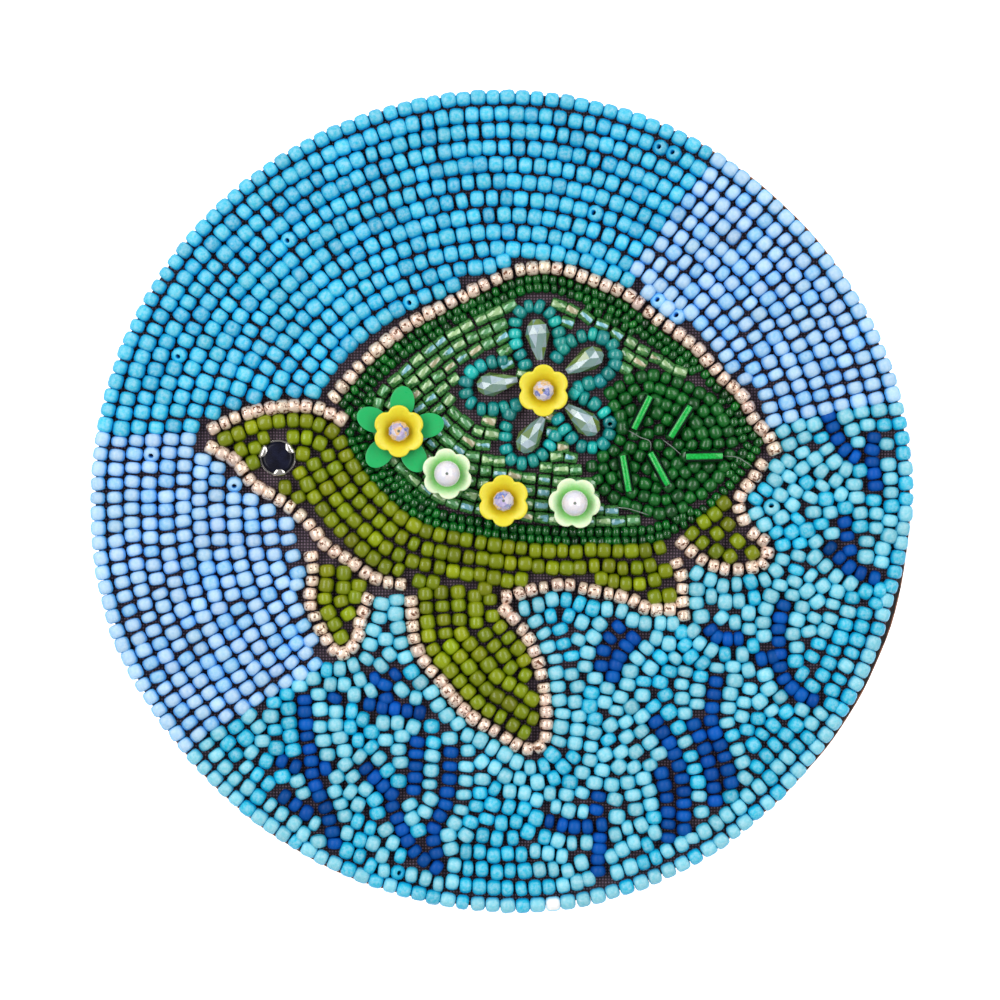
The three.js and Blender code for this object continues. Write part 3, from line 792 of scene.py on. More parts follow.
def card_finish():
    f = Finish("grey_board")
    ply = f.node("TexWave", Vector=f.place, Scale=1400.0, Distortion=2.0, Detail=3.0)
    ply.bands_direction = "Z"
    fibre = f.noise(0.5 * MM, 5.0, 0.7)
    layers = f.mix(ply.outputs["Fac"], srgb(112, 98, 78), srgb(156, 140, 116))
    f.surface(Base_Color=f.mix(f.ramp(fibre, 0.45, 0.7, 0.0, 0.5), layers, srgb(92, 80, 66)), Roughness=0.95)
    f.bump(fibre, 0.4, 0.08 * MM)
    return f.material


# ---- Stage ----


class COASTER_OT_stage(bpy.types.Operator):
    """Camera above the coaster, a soft overhead light and a pale floor"""

    bl_idname = "coaster.stage"
    bl_label = "Stage"

    def execute(self, context):
        scene, studio = context.scene, context.scene.coaster_studio
        scene.view_settings.view_transform = "Standard"
        low, high = CAD_BOX
        bead_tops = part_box("sky_beads")[1].z
        sensor = 36 * MM
        rise = studio.view_width / sensor * studio.lens
        clear_selection()
        bpy.ops.object.camera_add(location=(-0.23 * MM, -0.11 * MM, bead_tops + rise), rotation=(0, 0, 0))
        camera = context.object
        camera.data.lens = studio.lens / MM
        camera.data.sensor_width = sensor / MM
        camera.data.clip_start = 0.01
        scene.camera = camera
        for side, share in ((-1, 1.15), (1, 0.85)):
            bpy.ops.object.light_add(type="AREA", location=(side * 0.42, 0.16, 0.62))
            softbox = context.object
            softbox.data.shape = "RECTANGLE"
            softbox.data.size = 0.34
            softbox.data.size_y = 0.9
            softbox.data.energy = studio.key_power * share
            softbox.rotation_euler = (math.radians(-12), side * math.radians(34), 0)
        bpy.ops.mesh.primitive_plane_add(size=6, location=(0, 0, low.z - 0.05 * MM))
        floor = context.object
        floor.name = "floor"
        paper = Finish("white_paper")
        grain = paper.noise(0.4 * MM, 3.0, 0.6)
        paper.surface(Base_Color=paper.mix(grain, (0.93, 0.93, 0.93), (0.97, 0.97, 0.97)), Roughness=0.9)
        paper.surface(Emission_Color=(1, 1, 1, 1), Emission_Strength=0.8)
        floor.data.materials.append(paper.material)
        world = bpy.data.worlds.new("studio_room")
        scene.world = world
        world.use_nodes = True
        background = world.node_tree.nodes["Background"]
        background.inputs["Color"].default_value = (1, 1, 1, 1)
        background.inputs["Strength"].default_value = studio.fill
        return {"FINISHED"}


# ---- Base ----


def disc(name, node, sides, corner, segments=2):
    """A round plate in the space of a CAD disc, with its edges eased."""
    low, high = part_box(node)
    middle = (low + high) / 2
    clear_selection()
    bpy.ops.mesh.primitive_cylinder_add(
        vertices=sides, radius=(high.x - low.x) / 2, depth=high.z - low.z, location=middle, end_fill_type="NGON"
    )
    piece = bpy.context.object
    piece.name = name
    bpy.ops.object.transform_apply(location=True, rotation=True, scale=True)
    edit(piece)
    pick(piece, "EDGE", lambda e: len({round(v.co.z, 6) for v in e.verts}) == 1)
    bpy.ops.mesh.bevel(offset=corner, segments=segments, affect="EDGES")
    bpy.ops.object.mode_set(mode="OBJECT")
    return piece, middle, (high.x - low.x) / 2


def roughen_edge(piece, middle, radius, depth, rng):
    """Pulls the rim in here and there, as scissors leave it."""
    phases = rng.uniform(0, 2 * math.pi, 6)
    for v in piece.data.vertices:
        reach = math.hypot(v.co.x - middle.x, v.co.y - middle.y)
        if reach > 0.9 * radius:
            turn = math.atan2(v.co.y - middle.y, v.co.x - middle.x)
            wave = sum(math.sin((5 + 7 * k) * turn + phases[k]) for k in range(6)) / 6
            pull = 1 - depth * (0.5 + 0.5 * wave) / radius
            v.co.x = middle.x + (v.co.x - middle.x) * pull
            v.co.y = middle.y + (v.co.y - middle.y) * pull


class COASTER_OT_base(bpy.types.Operator):
    """Backing, stiffener board and ground cloth"""

    bl_idname = "coaster.base"
    bl_label = "Base"

    def execute(self, context):
        rng = np.random.default_rng(SEED)
        backing, middle, radius = disc("leatherette_backing", "backing", 180, 0.2 * MM)
        roughen_edge(backing, middle, radius, 0.25 * MM, rng)
        own(backing, leather_finish(radius, middle), "backing_leatherette", ["backing"])
        cloth, middle, radius = disc("ground_cloth", "ground_fabric", 120, 0.12 * MM)
        own(cloth, cloth_finish(), "ground_fabric", ["ground_fabric"])
        board = NODES["stiffener_board"].data
        board.materials.clear()
        board.materials.append(card_finish())
        return {"FINISHED"}


# ---- Background beads in rings ----

# Hand-sewn rings are not quite round: how far they bulge out, in millimetres, by angle in degrees.
BULGES = [
    (0, 0.3), (20, 0.4), (45, -0.4), (60, -0.1), (90, -0.2), (110, -0.3), (140, -0.2), (180, -0.1), (200, 0.3),
    (215, -0.4), (240, -0.45), (260, 0.1), (280, 0.8), (300, 0.6), (320, -0.1), (345, -0.5),
]
GOLD_REACH = 1.78 * MM  # from the middle of a gold string to the middle of its neighbours
STRINGS = ("shell", "tail", "rear_flipper", "rump", "belly", "front_flipper", "throat", "head", "far_flipper")


def beadwork_centre():
    low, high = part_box("edge_bead_row")
    return np.array([(low.x + high.x) / 2, (low.y + high.y) / 2]), (high.x - low.x) / 2


def seed_shape(span):
    s = sizes()
    return bead_shape("seed", s.seed_width, span, s.seed_bore, 0.5 * MM)


def bulges_at(radius, turn):
    """How far each point of a ring is moved out from the true circle. The outer rings bulge more."""
    angles, bulges = np.array(BULGES).T
    bulge = np.interp(np.degrees(turn), angles, bulges, period=360) * MM
    bulge = bulge * np.clip((radius - 25 * MM) / (25 * MM), 0, 1)
    return bulge[..., None] * np.stack([np.cos(turn), np.sin(turn)], axis=-1)


def ring_points(radius, turn):
    """Points on a ring about the middle of the coaster."""
    centre, _ = beadwork_centre()
    circle = radius * np.stack([np.cos(turn), np.sin(turn)], axis=-1)
    return centre + circle + bulges_at(radius, turn)


def ring_rows(patch, radii, step, least_depth, lines=()):
    """Beads in rings about the middle of the coaster, spread evenly over each stretch that is free."""
    beads = Beads()
    for radius in radii:
        turn = np.linspace(0, 2 * math.pi, int(2 * math.pi * radius / FINE), endpoint=False) + 0.7
        points = ring_points(radius, turn)
        free = patch.depth(points - bulges_at(radius, turn)) > least_depth
        for line in lines:
            free &= gap_to_line(points, line) > GOLD_REACH
        first = int(np.argmin(free))
        order = np.roll(np.arange(len(turn)), -first)
        cuts = np.flatnonzero(np.diff(free[order].astype(int))) + 1
        for part in np.split(order, cuts):
            if not free[part[0]]:
                continue
            reach = (len(part) - 1) * FINE
            count = int(reach / step + 0.92)
            share = np.linspace(0, 1, count + 2)[1:-1] if reach / max(count, 1) > 1.3 * step else None
            share = np.linspace(0, 1, max(count, 1)) if share is None else share
            at = part[(share * (len(part) - 1)).astype(int)]
            beads.add(points[at], turn[at] + math.pi / 2)
    return beads


def ring_radii(count):
    """The rings inside the edge row, from the outermost inwards."""
    _, rim = beadwork_centre()
    return rim - 3.05 * MM - sizes().ring_pitch * np.arange(count)


def gold_lines():
    return [spaced(middle_line(f"gold_string_{name}"), 0.5 * MM) for name in STRINGS]


# A glaze with chalky mottle, whose crown is painted pale as top light and whose sides are painted darker as shade.
def chalky_lit_top(name, dark):
    return bead_finish(name, dark, 0.42, chalk=0.26, grain=0.25)


class COASTER_OT_sky(bpy.types.Operator):
    """Turquoise and periwinkle beads in rings, with the edge row round them"""

    bl_idname = "coaster.sky"
    bl_label = "Sky and haze"

    def execute(self, context):
        rng = np.random.default_rng(SEED + 1)
        s, c = sizes(), colours()
        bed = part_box("sky_beads")[0].z
        golds = gold_lines()
        borders = [(line, 1.62 * MM) for line in golds]
        radii = ring_radii(22)
        haze = ("haze_beads", s.seed_length, s.seed_step, c.haze, c.haze_deep, chalky_lit_top("haze_glaze", (0.3, 0.66, 0.98)))
        sky = (
            "turquoise_beads", s.sky_length, s.sky_step, c.turquoise, c.turquoise_deep,
            chalky_lit_top("sky_glaze", (0.05, 0.72, 0.98)),
        )
        for name, kind in (("sky_beads", sky), ("haze_beads_right", haze), ("haze_beads_left", haze)):
            slot, span, step, main, deep, finish = kind
            patch = Patch(name)
            beads = ring_rows(patch, radii, step, 0.6 * MM, golds)
            fill_holes(beads, patch, 0.3 * MM, step, s.ring_pitch, 0.8, borders)
            tint = tints(main, len(beads.place), rng, 0.06, deep, 0.2)
            piece = name.replace("_beads", "_beadwork")
            look = {"upright": 0.006, "size": 0.03, "span": 0.07, "yaw": 0.08}
            shape = seed_shape(span)
            lay_beads(piece, shape, beads, tint, bed + s.seed_width / 2, finish, slot, [name], look, rng)
        self.edge_row(rng, bed)
        return {"FINISHED"}

    def edge_row(self, rng, bed):
        """The ring that is whipped over the edge: its colours follow the fields that it passes."""
        s, c = sizes(), colours()
        _, rim = beadwork_centre()
        radius = rim - 0.95 * MM
        count = int(2 * math.pi * radius / s.sky_step)
        turn = 2 * math.pi * np.arange(count) / count
        beads = Beads()
        beads.add(ring_points(radius, turn), turn + math.pi / 2)
        inner = ring_points(radius - 2.6 * MM, turn)
        fields = ("sky_beads", "haze_beads_right", "haze_beads_left", "water_beads")
        field = np.stack([Patch(name).depth(inner) for name in fields]).argmax(0)
        base = np.array([c.turquoise[:], c.haze[:], c.haze[:], c.aqua[:]])[field]
        bright = (field == 3) & (rng.random(count) < 0.35)
        base[bright] = c.cyan[:]
        white = int(np.argmin(np.abs(turn - math.radians(278))))
        base[white] = (0.85, 0.85, 0.84)
        tint = (base * (1 + rng.normal(0, 0.06, (count, 1)))).clip(0, 0.95)
        corners, faces = seed_shape(s.sky_length)
        small = (corners * np.array([1.0, 0.92, 0.92]), faces)
        finish = chalky_lit_top("edge_glaze", (0.26, 0.72, 0.95))
        look = {"tilt": 0.04, "drop": 0.03, "shift": 0.03, "size": 0.02}
        nodes = ["edge_bead_row"]
        lay_beads(
            "edge_row_beadwork", small, beads, tint, bed + 0.96 * MM, finish, "turquoise_beads", nodes, look, rng
        )


# ---- Strings ----


def strung(line, step, end=0.5 * MM):
    """Beads threaded along a string, from end to end."""
    fine = spaced(line, FINE, smooth=20)
    reach = (len(fine) - 1) * FINE
    count = max(2, round((reach - 2 * end) / step) + 1)
    at = np.linspace(end / reach, 1 - end / reach, count) * (len(fine) - 1)
    at = at.astype(int)
    run = np.gradient(fine, axis=0)[at]
    beads = Beads()
    beads.add(fine[at], np.arctan2(run[:, 1], run[:, 0]))
    return beads


class COASTER_OT_gold(bpy.types.Operator):
    """Strings of champagne gold beads round the turtle"""

    bl_idname = "coaster.gold"
    bl_label = "Gold strings"

    def execute(self, context):
        rng = np.random.default_rng(SEED + 2)
        s, c = sizes(), colours()
        shape = bead_shape("gold", 1.9 * MM, s.gold_length, 0.36 * MM, 0.36 * MM)
        finish = gold_finish()
        for name in STRINGS:
            node = f"gold_string_{name}"
            beads = strung(middle_line(node), s.gold_step, end=0.2 * MM)
            tint = tints(c.gold, len(beads.place), rng, 0.1)
            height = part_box(node)[0].z + 0.98 * MM
            look = {"size": 0.035, "span": 0.09, "tilt": 0.08, "yaw": 0.09, "shift": 0.05}
            piece = f"gold_beads_{name}"
            lay_beads(piece, shape, beads, tint, height, finish, "gold_beads", [node], look, rng)
        return {"FINISHED"}


# Short dark blue strings in the water, in millimetres.
SHORT_WAVES = [
    [(40.2, 10.2), (41.9, 6.5), (43.5, 5.2)],
    [(45.8, 7.6), (45.6, 4.6), (46.1, 1.6)],
    [(42.2, -2.8), (42.9, -6.4)],
    [(40.4, -6.0), (42.9, -8.5), (45.8, -9.7)],
    [(32.0, -19.7), (33.4, -19.4)],
    [(25.6, -16.1), (26.9, -17.2), (29.1, -17.2)],
    [(14.4, -15.8), (12.7, -18.0), (12.3, -20.5)],
    [(16.2, -17.1), (14.3, -19.5), (13.7, -21.9)],
    [(23.7, -27.8), (25.0, -30.8), (25.9, -34.4), (26.2, -37.2)],
    [(18.9, -27.4), (20.8, -30.3), (22.3, -34.8), (22.5, -40.7)],
    [(19.7, -33.8), (20.4, -37.0), (20.5, -41.7)],
    [(11.9, -36.6), (11.6, -38.2)],
    [(5.9, -39.7), (8.8, -40.4), (12.2, -40.1)],
    [(12.1, -41.7), (11.9, -43.6), (11.8, -45.8)],
    [(-10.4, -29.9), (-10.7, -32.8), (-10.8, -35.9)],
    [(-13.4, -37.8), (-12.0, -41.4), (-10.1, -44.1), (-8.1, -45.3)],
    [(-8.1, -43.6), (-8.5, -40.7), (-7.0, -37.8), (-6.5, -34.4), (-6.3, -31.2)],
    [(-16.7, -33.2), (-13.5, -36.4)],
    [(-13.1, -21.6), (-14.5, -23.0), (-14.2, -24.6)],
    [(-16.3, -25.3), (-13.2, -25.8), (-10.1, -26.3)],
    [(-27.1, -32.3), (-25.4, -33.0)],
    [(-26.8, -36.7), (-24.1, -38.6)],
]
SINGLE_WAVES = [(-15.5, -22.1), (-20.6, -24.5), (-21.7, -33.2)]
WAVE_NODES = ("wave_string_left", "wave_string_right", "wave_string_far_right")


def short_wave_lines():
    return [curve_through(np.array(route) * MM, 0.2 * MM) for route in SHORT_WAVES]


def wave_beads():
    """Every dark blue bead: those of the three long strings, and those of the short ones."""
    step = 1.56 * MM
    long_ones = {name: strung(middle_line(name), step) for name in WAVE_NODES}
    short_ones = Beads()
    for line in short_wave_lines():
        some = strung(line, step, end=0.0)
        short_ones.add(some.place, some.heading)
    short_ones.add(np.array(SINGLE_WAVES) * MM, np.array([0.4, 1.2, 0.2]))
    return long_ones, short_ones


class COASTER_OT_waves(bpy.types.Operator):
    """Royal blue beads in the water"""

    bl_idname = "coaster.waves"
    bl_label = "Waves"

    def execute(self, context):
        rng = np.random.default_rng(SEED + 3)
        c = colours()
        shape = bead_shape("wave", 1.92 * MM, 1.4 * MM, 0.36 * MM, 0.46 * MM)
        finish = bead_finish("royal_glaze", (0.2, 0.55, 0.75), 0.4, chalk=0.0, grain=0.3, coat=0.0, specular=0.15)
        long_ones, short_ones = wave_beads()
        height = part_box(WAVE_NODES[0])[0].z + 0.98 * MM
        for name, beads in [*long_ones.items(), ("short_waves", short_ones)]:
            tint = tints(c.royal, len(beads.place), rng, 0.14)
            piece = name.replace("string", "beads")
            nodes = [name] if name in WAVE_NODES else []
            look = {"size": 0.03, "span": 0.08, "yaw": 0.08}
            lay_beads(piece, shape, beads, tint, height, finish, "royal_beads", nodes, look, rng)
        return {"FINISHED"}


# ---- Water ----

# Places where the water is bright cyan, in millimetres: middle and half size across and up.
BRIGHT_WATER = [
    ((-0.3, -40.5), (5.8, 5.5)),
    ((0.4, -48.2), (7.5, 1.6)),
    ((20.5, -22.6), (3.6, 1.2)),
    ((31.0, -18.4), (2.2, 1.6)),
    ((36.0, -4.0), (3.4, 3.2)),
    ((39.0, -20.5), (3.4, 4.0)),
    ((-17.4, -29.0), (2.6, 3.4)),
    ((-8.0, -21.2), (2.4, 2.2)),
    ((7.0, -33.0), (3.0, 2.2)),
    ((32.0, -30.0), (3.2, 3.4)),
    ((-27.0, -30.0), (2.6, 2.0)),
    ((44.0, -16.0), (2.4, 4.0)),
    ((-20.0, -45.0), (5.0, 2.0)),
]


class COASTER_OT_water(bpy.types.Operator):
    """Pale and bright water beads in rows that wander round the turtle and the waves"""

    bl_idname = "coaster.water"
    bl_label = "Water"

    def execute(self, context):
        rng = np.random.default_rng(SEED + 4)
        s, c = sizes(), colours()
        patch = Patch("water_beads")
        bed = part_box("water_beads")[0].z
        long_ones, short_ones = wave_beads()
        golds = gold_lines()
        waves = [spaced(middle_line(name), 0.4 * MM) for name in WAVE_NODES] + short_wave_lines()
        borders = [(line, 1.7 * MM) for line in golds]
        radii = ring_radii(2)
        least = 0.55 * MM
        fixed = Beads()
        for some in [*long_ones.values(), short_ones]:
            fixed.add(some.place, some.heading)
        rings = ring_rows(patch, radii, s.seed_step, least, golds)
        clear = fixed.crowding(rings.place, rings.heading, s.seed_step, s.row_pitch) > 0.9
        beads = Beads()
        beads.add(fixed.place, fixed.heading)
        beads.add(rings.place[clear], rings.heading[clear])
        sources = [spaced(line, FINE, smooth=30) for line in [*golds, *waves]]
        turn = np.linspace(0, 2 * math.pi, 1800)
        inner_ring = ring_points(radii[-1], turn)
        sources.append(inner_ring)
        for distance in s.row_pitch * np.arange(1, 9):
            for number, line in enumerate(sources):
                others = [o for k, o in enumerate(sources) if k != number]
                sides = (1,) if line is inner_ring else (1, -1)
                near = [distance] if line is not inner_ring else [distance + 0.1 * MM]
                for points, heading in rows_beside(line, near, sides):
                    inside = patch.depth(points) > 0.6 * MM if len(points) else np.zeros(0, bool)
                    points, heading = points[inside], heading[inside]
                    for other in others:
                        if len(points):
                            clear = gap_to_line(points, other[::4]) > distance - 0.15 * MM
                            points, heading = points[clear], heading[clear]
                    if len(points):
                        beads.thread(points, heading, s.seed_step, s.row_pitch)
        kept = len(fixed.place)
        for room, rounds in ((0.76, 40), (0.79, 25)):
            fill_holes(beads, patch, 0.35 * MM, s.seed_step, s.row_pitch, room, borders)
            loose = Beads()
            loose.add(beads.place[kept:], beads.heading[kept:])
            settle(loose, fixed, patch, 0.35 * MM, 1.74 * MM, 2.04 * MM, rounds, borders)
            beads.place[kept:] = loose.place
        tint = self.dye(loose.place, rng)
        finish = chalky_lit_top("water_glaze", (0.12, 0.76, 0.92))
        look = {"size": 0.035, "span": 0.08, "yaw": 0.1, "tilt": 0.08, "upright": 0.006}
        shape = seed_shape(s.seed_length)
        height = bed + s.seed_width / 2
        lay_beads("water_beadwork", shape, loose, tint, height, finish, "aqua_beads", ["water_beads"], look, rng)
        return {"FINISHED"}

    def dye(self, place, rng):
        """Pale or bright by patches with ragged edges, and by short runs elsewhere."""
        c = colours()
        bright = np.zeros(len(place))
        for middle, half in BRIGHT_WATER:
            reach = np.hypot(*((place / MM - middle) / half).T)
            bright = np.maximum(bright, 1.35 - reach)
        waves = np.zeros(len(place))
        for _ in range(9):
            way = rng.normal(0, 1, 2)
            waves += np.sin(place @ way / (1.7 * MM) + rng.uniform(0, 6.3))
        run = waves / 3 + rng.normal(0, 0.45, len(place))
        picked = (bright + rng.normal(0, 0.18, len(place)) > 0.5) | (run > 0.85)
        tint = np.where(picked[:, None], np.array(c.cyan), np.array(c.aqua))
        return (tint * (1 + rng.normal(0, 0.08, (len(place), 1)))).clip(0.001, 0.95)


# ---- Turtle ----


class COASTER_OT_turtle(bpy.types.Operator):
    """Olive beads of the head, body and flippers"""

    bl_idname = "coaster.turtle"
    bl_label = "Turtle"

    def execute(self, context):
        rng = np.random.default_rng(SEED + 5)
        s, c = sizes(), colours()
        shape = bead_shape("olive", 1.98 * MM, 1.64 * MM, 0.36 * MM, 0.46 * MM)
        finish = bead_finish("olive_glaze", (0.42, 0.5, 0.2), 0.28, chalk=0.0, coat=0.3, grain=0.65, specular=0.3)
        golds = gold_lines()
        # The side of each field that its rows run along: its two ends and a point beside it.
        guides = {
            "body_beads": ((-34.8, 7.6), (21.0, -5.6), (-9.8, -3.2)),
            "front_flipper_beads": ((-10.2, -12.6), (3.6, -29.6), (-9.0, -18.6)),
            "far_flipper_beads": ((-22.2, -8.4), (-20.2, -17.6), (-22.5, -12.8)),
            "rear_flipper_beads": ((24.0, -6.2), (30.8, 5.0), (27.6, 1.6)),
        }
        borders = [(gold, 1.62 * MM) for gold in golds]
        fields = {}
        for name, (first, last, by) in guides.items():
            patch = Patch(name)
            line = spaced(patch.edge(first, last, by), FINE, smooth=60)
            distances = 0.72 * MM + s.row_pitch * np.arange(12)
            beads = Beads()
            for points, heading in rows_beside(line, distances):
                inside = patch.depth(points) > 0.5 * MM if len(points) else np.zeros(0, bool)
                if inside.any():
                    beads.thread(points[inside], heading[inside], s.seed_step, s.row_pitch)
            for room, rounds in ((0.76, 14), (0.8, 8)):
                fill_holes(beads, patch, 0.35 * MM, s.seed_step, s.row_pitch, room, borders)
                settle(beads, Beads(), patch, 0.3 * MM, 1.7 * MM, 1.98 * MM, rounds, borders)
            fields[name] = beads
        # The fields run into each other, so beads also go where two of them meet.
        joined = Beads()
        for beads in fields.values():
            joined.add(beads.place, beads.heading)
        count = len(joined.place)
        rim = spaced(outlines("shell_rim_beads")[0], 0.3 * MM)
        low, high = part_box("eye_claw_setting")
        eye = (low + high).xy / 2
        pupil = np.array([(eye.x, eye.y), (eye.x + 0.01 * MM, eye.y)])
        near = [(gold, 1.6 * MM) for gold in golds] + [(rim, 1.4 * MM), (pupil, 3.0 * MM)]
        fill_holes(joined, Patch(*fields), -1.3 * MM, s.seed_step, s.row_pitch, 0.8, near)
        fields["body_beads"].add(joined.place[count:], joined.heading[count:])
        for name, beads in fields.items():
            tint = tints(c.olive, len(beads.place), rng, 0.13)
            pale = rng.random(len(tint)) < 0.08
            tint[pale] *= 1.35
            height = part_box(name)[0].z + 0.97 * MM
            piece = name.replace("_beads", "_beadwork")
            look = {"size": 0.03, "span": 0.09, "yaw": 0.08}
            lay_beads(piece, shape, beads, tint, height, finish, "olive_beads", [name], look, rng)
        return {"FINISHED"}


# ---- Shell ----


class COASTER_OT_shell(bpy.types.Operator):
    """Rim beads, tube beads and the leaf's round beads"""

    bl_idname = "coaster.shell"
    bl_label = "Shell"

    def execute(self, context):
        rng = np.random.default_rng(SEED + 6)
        self.rim(rng)
        self.tubes(rng)
        self.leaf(rng)
        return {"FINISHED"}

    def rim(self, rng):
        s, c = sizes(), colours()
        patch = Patch("shell_rim_beads")
        shape = bead_shape("rim", s.rim_width, 0.95 * MM, 0.22 * MM, 0.3 * MM, sides=8, segments=2)
        line = spaced(np.vstack([patch.outline, patch.outline[:1]]), FINE, smooth=30)
        beads = Beads()
        for points, heading in rows_beside(line, (0.28 + 1.13 * np.arange(5)) * MM):
            inside = patch.depth(points) > 0.12 * MM if len(points) else np.zeros(0, bool)
            if inside.any():
                beads.thread(points[inside], heading[inside], s.rim_step, 1.13 * MM)
        fill_holes(beads, patch, 0.1 * MM, s.rim_step, 1.13 * MM, 0.78)
        tint = tints(srgb(0, 100, 22), len(beads.place), rng, 0.3)
        finish = clear_glass("rim_glass", tuple(c.rim), 0.1, 0.35)
        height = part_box("shell_rim_beads")[0].z + 0.66 * MM
        look = {"size": 0.04, "span": 0.1, "tilt": 0.2, "yaw": 0.2, "drop": 0.06}
        nodes = ["shell_rim_beads"]
        lay_beads("shell_rim_beadwork", shape, beads, tint, height, finish, "rim_beads", nodes, look, rng)

    def tubes(self, rng):
        s = sizes()
        patch = Patch("shell_tube_beads")
        shape = bead_shape("tube", s.tube_width, s.tube_length, 0.4 * MM, 0.14 * MM, sides=12, segments=1)
        rim_inside = outlines("shell_rim_beads")[1]
        top = spaced(patch.edge((-15.8, 9.8), (25.0, 13.6), (4.6, 24.0), rim_inside), FINE, smooth=40)
        bottom = spaced(patch.edge((-15.8, 9.0), (24.0, 0.0), (0.3, -2.2), rim_inside), FINE, smooth=40)
        beads = Beads()
        for row in range(14):
            for guide, rows in ((top, 5), (bottom, 14)):
                distance = 1.0 * MM + s.tube_pitch * row
                if row < rows:
                    for points, heading in rows_beside(guide, [distance]):
                        inside = patch.depth(points) > 0.5 * MM if len(points) else np.zeros(0, bool)
                        if inside.any():
                            beads.thread(points[inside], heading[inside], s.tube_step, s.tube_pitch)
        fill_holes(beads, patch, 0.42 * MM, s.tube_step, s.tube_pitch, 0.82)
        count = len(beads.place)
        # Colours of the painted highlight bar along each tube's crown, each tinted as the rainbow coat would tint a
        # reflection.
        highlight_tints = np.array([srgb(158, 190, 136), srgb(118, 176, 196), srgb(180, 168, 136), srgb(100, 162, 112)])
        tint = highlight_tints[rng.choice(4, count, p=(0.34, 0.3, 0.14, 0.22))] * (1 + rng.normal(0, 0.1, (count, 1)))
        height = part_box("shell_tube_beads")[0].z + 0.72 * MM
        look = {"size": 0.03, "span": 0.1, "tilt": 0.07, "yaw": 0.09, "drop": 0.07}
        nodes = ["shell_tube_beads"]
        finish = tube_finish()
        lay_beads("shell_tube_beadwork", shape, beads, tint.clip(0, 0.95), height, finish, "tube_beads", nodes, look, rng)

    def leaf(self, rng):
        s, c = sizes(), colours()
        patch = Patch("leaf_beads")
        shape = bead_shape("leaf", s.leaf_width, 1.5 * MM, 0.26 * MM, 0.46 * MM)
        line = spaced(np.vstack([patch.outline, patch.outline[:1]]), FINE, smooth=60)
        beads = Beads()
        for points, heading in rows_beside(line, (0.6 + 1.56 * np.arange(8)) * MM):
            inside = patch.depth(points) > 0.42 * MM if len(points) else np.zeros(0, bool)
            if inside.any():
                beads.thread(points[inside], heading[inside], 1.46 * MM, 1.56 * MM)
        fill_holes(beads, patch, 0.2 * MM, 1.46 * MM, 1.56 * MM, 0.76)
        settle(beads, Beads(), patch, 0.3 * MM, 1.5 * MM, 1.58 * MM, 10)
        tint = tints(srgb(4, 88, 20), len(beads.place), rng, 0.22)
        finish = clear_glass("leaf_glass", tuple(c.leaf), 0.3, 0.1)
        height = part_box("leaf_beads")[0].z + 0.8 * MM
        look = {"size": 0.05, "span": 0.08, "tilt": 0.12, "yaw": 0.14, "drop": 0.08}
        lay_beads("leaf_beadwork", shape, beads, tint, height, finish, "leaf_beads", ["leaf_beads"], look, rng)


# ---- Crystal drops and their loops ----


def lying(node, piece):
    """Turns a piece that stands on the origin along Z to lie in a CAD piece's place, narrow end first."""
    corners = np.array([v.co for v in NODES[node].data.vertices])
    middle = (corners.min(0) + corners.max(0)) / 2
    flat = corners[:, :2] - corners[:, :2].mean(0)
    way = np.linalg.svd(flat, full_matrices=False)[2][0]
    along, across = flat @ way, flat @ np.array([-way[1], way[0]])
    widest = along[np.abs(across) > 0.9 * np.abs(across).max()].mean()
    if widest < (along.min() + along.max()) / 2:
        way = -way
    centre = corners[:, :2].mean(0) + way * 0
    ends = (corners[:, :2] - centre) @ way
    centre = centre + way * (ends.min() + ends.max()) / 2
    turn = Matrix.Rotation(math.atan2(way[1], way[0]), 4, "Z") @ Matrix.Rotation(math.pi / 2, 4, "Y")
    piece.data.transform(Matrix.Translation((centre[0], centre[1], middle[2])) @ turn)


